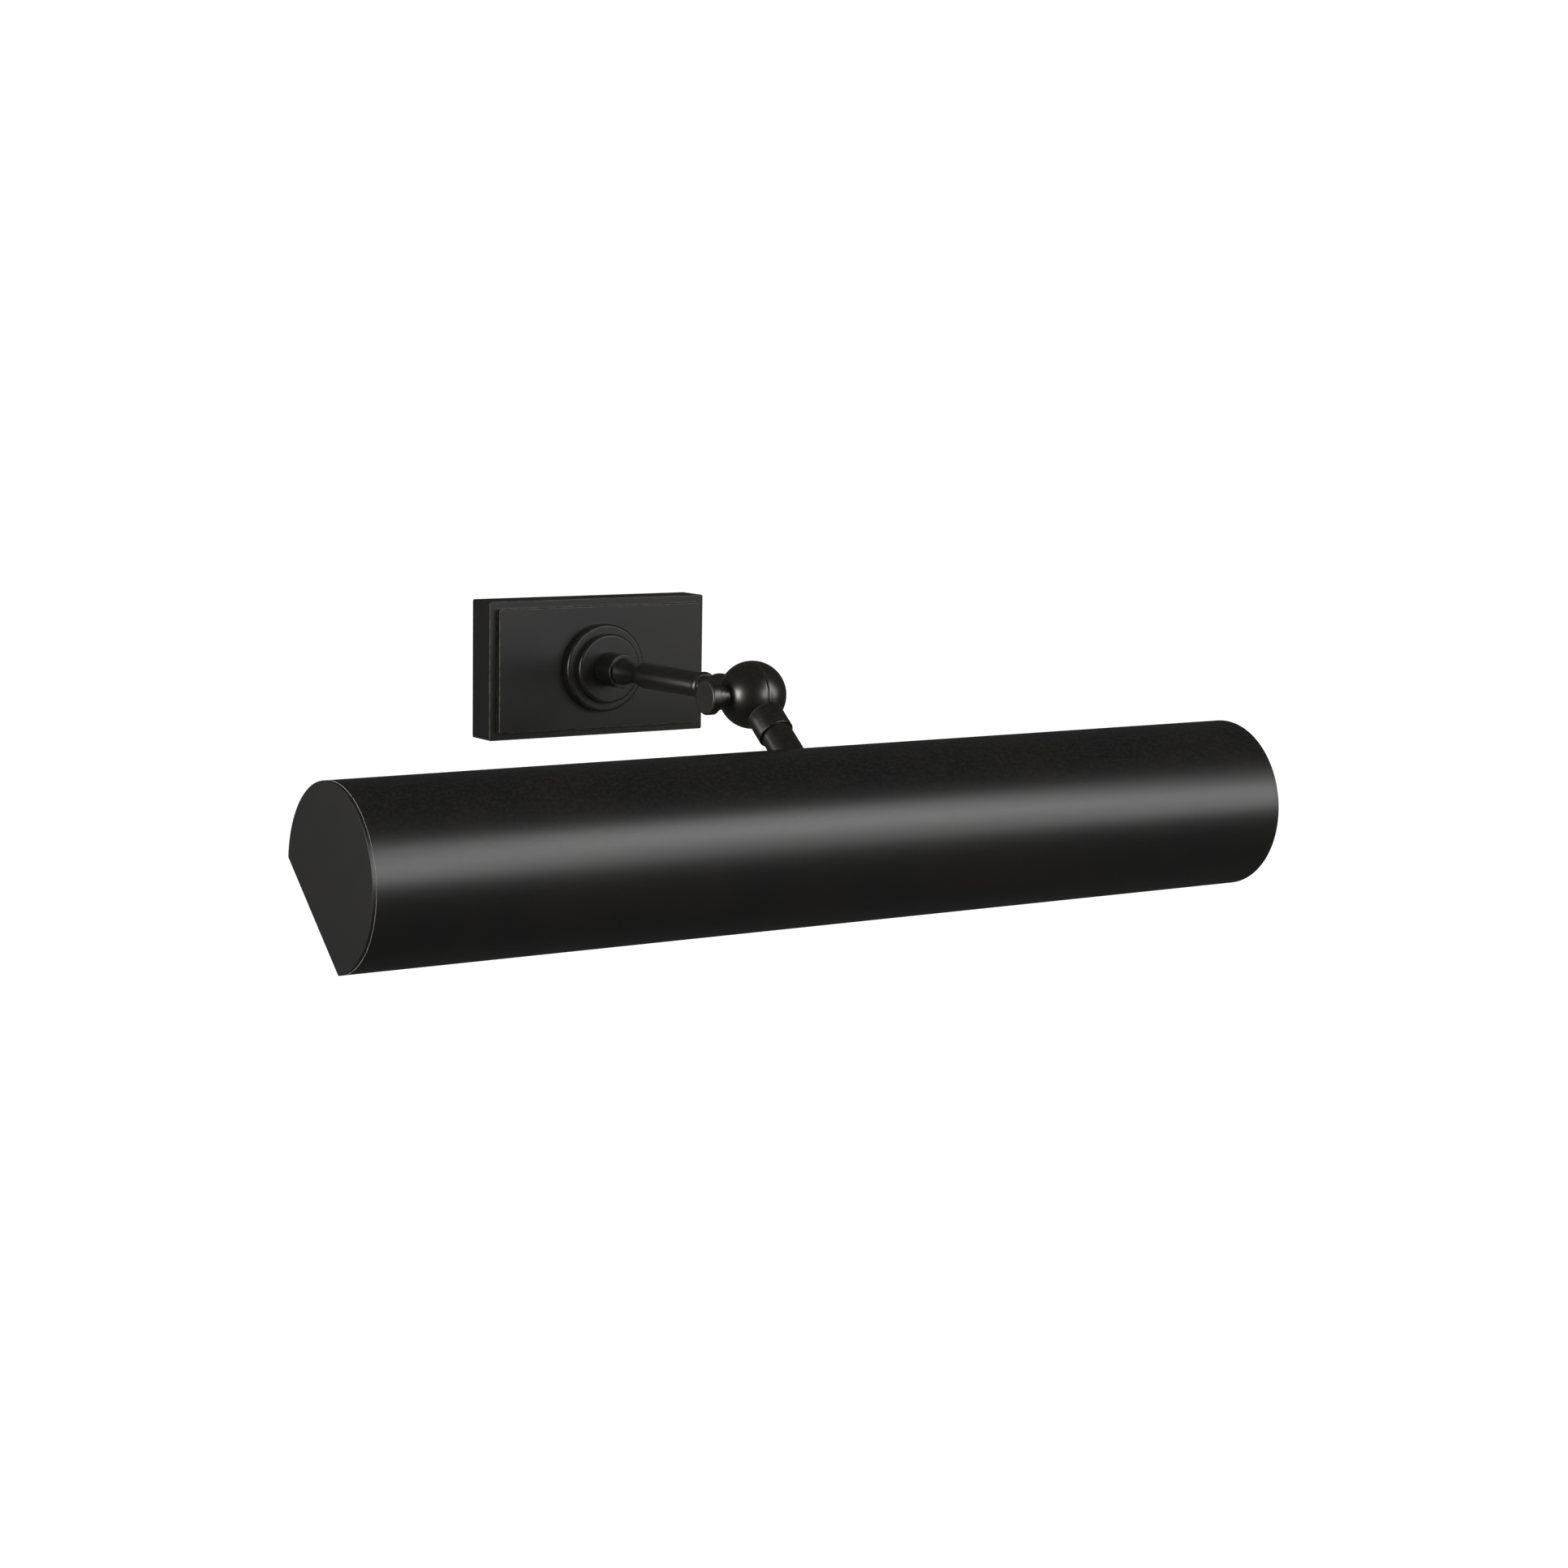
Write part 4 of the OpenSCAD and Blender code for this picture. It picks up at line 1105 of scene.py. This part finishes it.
# ---- Shade ----


def lip_angle(radius, drop, nose):
    """Angle below the horizontal of the rounded lip's middle, in degrees."""
    return math.degrees(math.asin((drop - nose) / (radius - nose)))


def polar(radius, degrees):
    """A point at this radius and angle."""
    return Vector((math.cos(math.radians(degrees)), math.sin(math.radians(degrees)))) * radius


def draw_section(name, radius, drop, nose):
    """The tube's outside: an arc over the top from one rounded lip to the other."""
    low = lip_angle(radius, drop, nose)
    drawn = Outline(name, polar(radius, -low))
    return drawn.arc((0, 0), 180 + 2 * low, 150), low


def make_shade():
    """Tubular shade, one bent sheet with folded hems, cut open along a plane."""
    sizes = settings().shade
    outer, wall, drop = sizes.radius, sizes.wall, sizes.drop
    low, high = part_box("shade_shell")
    drawn, lip = draw_section("shade_tube", outer, drop, wall)
    inner = outer - 2 * wall
    hem = math.degrees(math.asin((drop - sizes.hem) / inner))
    drawn.arc(polar(outer - wall, 180 + lip), 180, 10)
    drawn.arc((0, 0), -(lip - hem), 4)
    drawn.line(polar(outer - 1.7 * wall, 180 + hem - 0.4), polar(outer - 1.2 * wall, 180 + hem - 0.6))
    drawn.line(polar(outer - wall, 180 + hem - 0.9)).arc((0, 0), -(180 + 2 * (hem - 0.9)), 130)
    drawn.line(polar(outer - 1.2 * wall, -hem + 0.6), polar(outer - 1.7 * wall, -hem + 0.4))
    drawn.line(polar(inner, -hem)).arc((0, 0), -(lip - hem), 4)
    drawn.arc(polar(outer - wall, -lip), 180, 10)
    shade = drawn.plate(high.x - low.x)
    place(shade, at_shade(low.x))
    stem = settings().knuckle
    hole = cylinder("hole", stem.stem_radius + 0.14 * MM, 20 * MM)
    place(hole, down_stem(sizes.along - sizes.radius - 2 * MM))
    combine(shade, hole, "DIFFERENCE")
    tidy_surface(shade)
    middle = tube_axis()
    for face in shade.data.polygons:
        across = (face.center - middle) * Vector((0, 1, 1))
        inwards = across.dot(face.normal) < 0
        face.material_index = int(inwards and across.length < outer - 0.6 * wall)
    soften(shade, 40)
    return hand_over(
        shade, "shade_head", "shade_bronze", [finish(shade_bronze), finish(white_enamel)], "shade_shell"
    )


def make_end_caps():
    """Flat end plates with rounded rims and a flange that locates inside the tube."""
    sizes = settings().shade
    outer, wall, drop = sizes.radius, sizes.wall, sizes.drop
    drawn, lip = draw_section("shade_cap_left", outer, drop, wall)
    drawn.arc(polar(outer - wall, 180 + lip), 90 - lip, 6)
    drawn.line(polar(outer - wall, -lip) + Vector((0, -wall)))
    drawn.arc(polar(outer - wall, -lip), 90 - lip, 6)
    left = drawn.plate(sizes.cap)
    round_edges(left, sizes.cap_edge, 3, 50)
    inner = outer - wall - sizes.fit
    end = math.degrees(math.asin((drop - sizes.hem - MM) / inner))
    ring = Outline("flange", polar(inner, -end)).arc((0, 0), 180 + 2 * end, 96)
    ring.line(polar(inner - MM, 180 + end)).arc((0, 0), -(180 + 2 * end), 96)
    flange = ring.close().plate(sizes.cap_flange + 0.3 * MM)
    place(flange, Matrix.Translation((0, sizes.cap - 0.3 * MM, 0)))
    combine(left, flange, "UNION")
    tidy_surface(left)
    for face in left.data.polygons:
        face.material_index = int(face.center.y > sizes.cap - 0.01 * MM)
    right = copy_of(left, "shade_cap_right")
    about = Matrix.Rotation(math.radians(180), 4, "Z")
    place(left, at_shade(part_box("end_cap_left")[0].x))
    place(right, at_shade(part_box("end_cap_right")[1].x) @ about)
    materials = [finish(shade_bronze), finish(white_enamel)]
    for cap, node_name in ((left, "end_cap_left"), (right, "end_cap_right")):
        soften(cap, 40)
        hand_over(cap, "shade_head", "shade_bronze", materials, node_name)


# ---- Lamps ----


def make_sockets():
    """Moulded sockets with a stepped body, ribs round the grip and a rounded mouth."""
    sizes = settings().lamps
    low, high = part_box("socket_right")
    radius, near, far = (high.z - low.z) / 2, low.x, high.x
    cheek, mouth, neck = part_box("socket_bracket")[1].x, 6.3 * MM, 4.5 * MM
    bore, ribs, pitch = neck - 1.6 * MM, 7, 2.6
    bottom, edge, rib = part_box("socket_contact_right")[0].x, sizes.socket_edge, sizes.rib
    drawn = Outline("lamp_socket_right", (bore, near)).line((neck, near), (neck, cheek))
    drawn.line((radius - 2.9 * MM, cheek)).arc((radius - 2.9 * MM, cheek + 0.4 * MM), 90, 4)
    drawn.line((radius - 2.5 * MM, cheek + 6 * MM), (radius - rib, cheek + 8.6 * MM))
    for step in range(ribs):
        at = cheek + (10 + pitch * step) * MM
        drawn.line((radius - rib, at), (radius, at + 0.35 * MM), (radius, at + 1.35 * MM))
        drawn.line((radius - rib, at + 1.7 * MM))
    drawn.line((radius - rib, far - 6.2 * MM), (radius, far - 5.8 * MM))
    drawn.line((radius, far - edge)).arc((radius - edge, far - edge), 90, 5)
    drawn.line((mouth + 0.4 * MM, far)).arc((mouth + 0.4 * MM, far - 0.4 * MM), 90, 4)
    right = drawn.line((mouth, bottom), (bore, bottom)).close().turned()
    soften(right)
    left = copy_of(right, "lamp_socket_left")
    for socket, side, node_name in ((right, 1, "socket_right"), (left, -1, "socket_left")):
        place(socket, at_lamp(side))
        hand_over(socket, "shade_head", "socket_white", [finish(socket_white)], node_name)


def glass_wall(radius, sizes, shrink, start, end):
    """One face of the bulb's glass, from its neck to the tip of its dome."""
    neck, wide, dome = sizes.glass_neck - shrink, radius - shrink, sizes.dome - shrink
    drawn_in = start + sizes.glass_neck_len
    points = [(neck, start)]
    for step in range(13):
        t = step / 12
        widened = neck + (wide - neck) * (1 - math.cos(math.pi * t)) / 2
        points.append((widened, drawn_in + t * sizes.shoulder))
    for step in range(1, 17):
        angle = QUARTER_TURN * step / 16
        up = end - shrink - dome + dome * math.sin(angle)
        points.append((max(0.0, wide * math.cos(angle)), up))
    return points


def make_bulb_glasses():
    """Tubular glass: a neck drawn in to the base, a straight body and a domed end."""
    sizes = settings().lamps
    low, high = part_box("bulb_glass_right")
    radius, start, end = (high.z - low.z) / 2, low.x, high.x
    inside = glass_wall(radius, sizes, sizes.glass_wall, start, end)
    outside = glass_wall(radius, sizes, 0, start, end)
    drawn = Outline("lamp_glass_right", inside[-1]).line(*reversed(inside[:-1]))
    right = drawn.line(*outside).turned()
    soften(right, 40, weighted=False)
    left = copy_of(right, "lamp_glass_left")
    for glass, side, node_name in ((right, 1, "bulb_glass_right"), (left, -1, "bulb_glass_left")):
        place(glass, at_lamp(side))
        hand_over(glass, "shade_head", "bulb_glass", [finish(bulb_glass)], node_name)


# ---- Pieces kept from the construction ----


def finish_kept_nodes():
    """Gives every node that is still shown the finish of its own slot."""
    for kept in frame["nodes"].values():
        if kept.hide_render:
            continue
        for held in kept.material_slots:
            held.material = finish(KEPT_FINISHES[held.material.name.split(".")[0]])


KEPT_FINISHES = {
    maker.__name__: maker
    for maker in (
        aged_bronze, shade_bronze, zinc_steel, dark_steel, brass, ground_green, fibre, nylon,
        socket_white, orange_cap, lead_black, lead_white, lead_green, bulb_glass, filament,
    )
}


# ---- Stage ----


def make_floor(drop):
    """A wide pale floor with rounded corners, well below the light."""
    floor = add_primitive(
        "studio_floor", bpy.ops.mesh.primitive_plane_add, size=40, location=(0, 0, -drop)
    )
    apply_modifier(floor, "BEVEL", affect="VERTICES", width=2, segments=8)
    place(floor, floor.matrix_world.copy())
    material, tree, shader = new_material()
    material.name = "Pale Floor"
    clouds = effect(tree, "Clouds", Scale=0.6, Detail=3.0, Low=0.3, High=0.7)
    feed(
        shader, "Base Color",
        blend_colour(tree, clouds.outputs["Mask"], (0.90, 0.90, 0.895), (0.88, 0.88, 0.875)),
    )
    feed(shader, "Roughness", blend_value(tree, clouds.outputs["Mask"], 0.85, 0.95))
    floor.data.materials.append(material)
    floor.visible_glossy = False


def make_world():
    """White surroundings, dim where a glossy surface mirrors them."""
    world = bpy.data.worlds.new("Studio")
    bpy.context.scene.world = world
    world.use_nodes = True
    tree = world.node_tree
    background = tree.nodes["Background"]
    rays = node(tree, "LightPath")
    strength = node(
        tree, "MapRange", {"Value": rays.outputs["Is Glossy Ray"], "To Min": 1.3, "To Max": 0.06}
    )
    tree.links.new(strength.outputs["Result"], background.inputs["Strength"])
    background.inputs["Color"].default_value = (1, 1, 1, 1)


def add_softbox(name, aim, azimuth, elevation, power):
    """A soft square light that faces the picture light from this direction, in degrees."""
    stage = settings().stage
    turned, raised = math.radians(azimuth), math.radians(elevation)
    away = Vector((
        math.sin(turned) * math.cos(raised), -math.cos(turned) * math.cos(raised), math.sin(raised)
    ))
    bpy.ops.object.light_add(type="AREA", location=aim + away * stage.softbox_distance)
    softbox = bpy.context.object
    softbox.name = name
    softbox.rotation_euler = away.to_track_quat("Z", "Y").to_euler()
    softbox.data.shape = "SQUARE"
    softbox.data.size = stage.softbox_size
    softbox.data.energy = power
    softbox.visible_camera = False


def make_camera(aim):
    """Camera at the chosen angle, level but for a slight roll."""
    stage = settings().stage
    away = Vector((
        -math.sin(stage.azimuth) * math.cos(stage.elevation),
        -math.cos(stage.azimuth) * math.cos(stage.elevation),
        math.sin(stage.elevation),
    ))
    bpy.ops.object.camera_add(location=aim + away * stage.distance)
    camera = bpy.context.object
    camera.name = "studio_camera"
    upright = away.to_track_quat("Z", "Y").to_matrix().to_4x4()
    tilted = upright @ Matrix.Rotation(stage.roll, 4, "Z")
    camera.matrix_world = Matrix.Translation(camera.location) @ tilted
    camera.data.sensor_width = 36
    camera.data.lens = stage.lens
    camera.data.clip_start = 0.05
    camera.data.clip_end = 60
    bpy.context.scene.camera = camera


SOFTBOXES = (
    ("softbox_left", -85, 6, 42.0),
    ("softbox_far_left", -122, 0, 6.0),
    ("softbox_front", 12, 9, 14.5),
    ("softbox_high_right", 32, 25, 13.5),
    ("softbox_right", 46, 8, 9.5),
)


# ---- Operators ----


class PICTURE_LIGHT_OT_canopy(Operator):
    """Models the canopy and its two screws"""

    bl_idname = "picture_light.canopy"
    bl_label = "Canopy"
    bl_options = {"REGISTER", "UNDO"}

    def execute(self, context):
        make_canopy()
        make_canopy_screws()
        return {"FINISHED"}


class PICTURE_LIGHT_OT_rosettes(Operator):
    """Turns the two rosette discs and the hub"""

    bl_idname = "picture_light.rosettes"
    bl_label = "Rosettes and Hub"
    bl_options = {"REGISTER", "UNDO"}

    def execute(self, context):
        edges = settings().arm
        make_disc("rosette_disc_outer", "rosette_outer", edges.disc_edge)
        make_disc("rosette_disc_inner", "rosette_inner", edges.disc_edge)
        make_disc("rosette_hub", "hub", edges.hub_edge)
        return {"FINISHED"}


class PICTURE_LIGHT_OT_arm(Operator):
    """Turns the arm"""

    bl_idname = "picture_light.arm"
    bl_label = "Arm"
    bl_options = {"REGISTER", "UNDO"}

    def execute(self, context):
        make_arm()
        return {"FINISHED"}


class PICTURE_LIGHT_OT_knuckle(Operator):
    """Models the two halves of the ball with their neck and collar"""

    bl_idname = "picture_light.knuckle"
    bl_label = "Knuckle"
    bl_options = {"REGISTER", "UNDO"}

    def execute(self, context):
        make_knuckle_arm_half()
        make_knuckle_shade_half()
        return {"FINISHED"}


class PICTURE_LIGHT_OT_knob(Operator):
    """Turns the clamp knob and its washer"""

    bl_idname = "picture_light.knob"
    bl_label = "Clamp Knob"
    bl_options = {"REGISTER", "UNDO"}

    def execute(self, context):
        make_knob_washer()
        make_knob()
        return {"FINISHED"}


class PICTURE_LIGHT_OT_stem(Operator):
    """Turns the stem"""

    bl_idname = "picture_light.stem"
    bl_label = "Stem"
    bl_options = {"REGISTER", "UNDO"}

    def execute(self, context):
        make_stem()
        return {"FINISHED"}


class PICTURE_LIGHT_OT_shade(Operator):
    """Bends the shade from one sheet, with hems and a hole for the stem"""

    bl_idname = "picture_light.shade"
    bl_label = "Shade"
    bl_options = {"REGISTER", "UNDO"}

    def execute(self, context):
        make_shade()
        return {"FINISHED"}


class PICTURE_LIGHT_OT_end_caps(Operator):
    """Models one end cap and copies it to the other end"""

    bl_idname = "picture_light.end_caps"
    bl_label = "End Caps"
    bl_options = {"REGISTER", "UNDO"}

    def execute(self, context):
        make_end_caps()
        return {"FINISHED"}


class PICTURE_LIGHT_OT_sockets(Operator):
    """Turns one socket and copies it to the other side"""

    bl_idname = "picture_light.sockets"
    bl_label = "Sockets"
    bl_options = {"REGISTER", "UNDO"}

    def execute(self, context):
        make_sockets()
        return {"FINISHED"}


class PICTURE_LIGHT_OT_bulbs(Operator):
    """Turns one bulb's glass and copies it to the other side"""

    bl_idname = "picture_light.bulbs"
    bl_label = "Bulbs"
    bl_options = {"REGISTER", "UNDO"}

    def execute(self, context):
        make_bulb_glasses()
        return {"FINISHED"}


class PICTURE_LIGHT_OT_finishes(Operator):
    """Gives the pieces kept from the construction their finishes"""

    bl_idname = "picture_light.finishes"
    bl_label = "Kept Pieces"
    bl_options = {"REGISTER", "UNDO"}

    def execute(self, context):
        finish_kept_nodes()
        return {"FINISHED"}


class PICTURE_LIGHT_OT_stage(Operator):
    """Sets up the floor, the surroundings, the softboxes and the camera"""

    bl_idname = "picture_light.stage"
    bl_label = "Stage"
    bl_options = {"REGISTER", "UNDO"}

    def execute(self, context):
        stage = settings().stage
        aim = Vector((stage.aim_right, -stage.aim_out, -stage.aim_down))
        make_floor(stage.floor_drop)
        make_world()
        for softbox in SOFTBOXES:
            add_softbox(softbox[0], aim, *softbox[1:])
        make_camera(aim)
        context.scene.view_settings.view_transform = "Standard"
        return {"FINISHED"}


STEPS = (
    PICTURE_LIGHT_OT_canopy,
    PICTURE_LIGHT_OT_rosettes,
    PICTURE_LIGHT_OT_arm,
    PICTURE_LIGHT_OT_knuckle,
    PICTURE_LIGHT_OT_knob,
    PICTURE_LIGHT_OT_stem,
    PICTURE_LIGHT_OT_shade,
    PICTURE_LIGHT_OT_end_caps,
    PICTURE_LIGHT_OT_sockets,
    PICTURE_LIGHT_OT_bulbs,
    PICTURE_LIGHT_OT_finishes,
    PICTURE_LIGHT_OT_stage,
)


class PICTURE_LIGHT_PT_steps(Panel):
    """Lists the steps that build the picture light, and its settings"""

    bl_idname = "PICTURE_LIGHT_PT_steps"
    bl_label = "Picture Light"
    bl_space_type = "VIEW_3D"
    bl_region_type = "UI"
    bl_category = "Picture Light"

    def draw(self, context):
        for step in STEPS:
            self.layout.operator(step.bl_idname)
        for name, kind in GROUPS.items():
            box = self.layout.box()
            box.label(text=name.title())
            for label in kind.__annotations__:
                box.prop(getattr(settings(), name), label)


CLASSES = (*GROUPS.values(), PictureLightSettings, *STEPS, PICTURE_LIGHT_PT_steps)


def register():
    for kind in CLASSES:
        bpy.utils.register_class(kind)
    bpy.types.Scene.picture_light = PointerProperty(type=PictureLightSettings)


def unregister():
    del bpy.types.Scene.picture_light
    for kind in reversed(CLASSES):
        bpy.utils.unregister_class(kind)


def main():
    """Runs every step in order."""
    register()
    for step in STEPS:
        category, name = step.bl_idname.split(".")
        getattr(getattr(bpy.ops, category), name)()


if __name__ == "__main__":
    main()
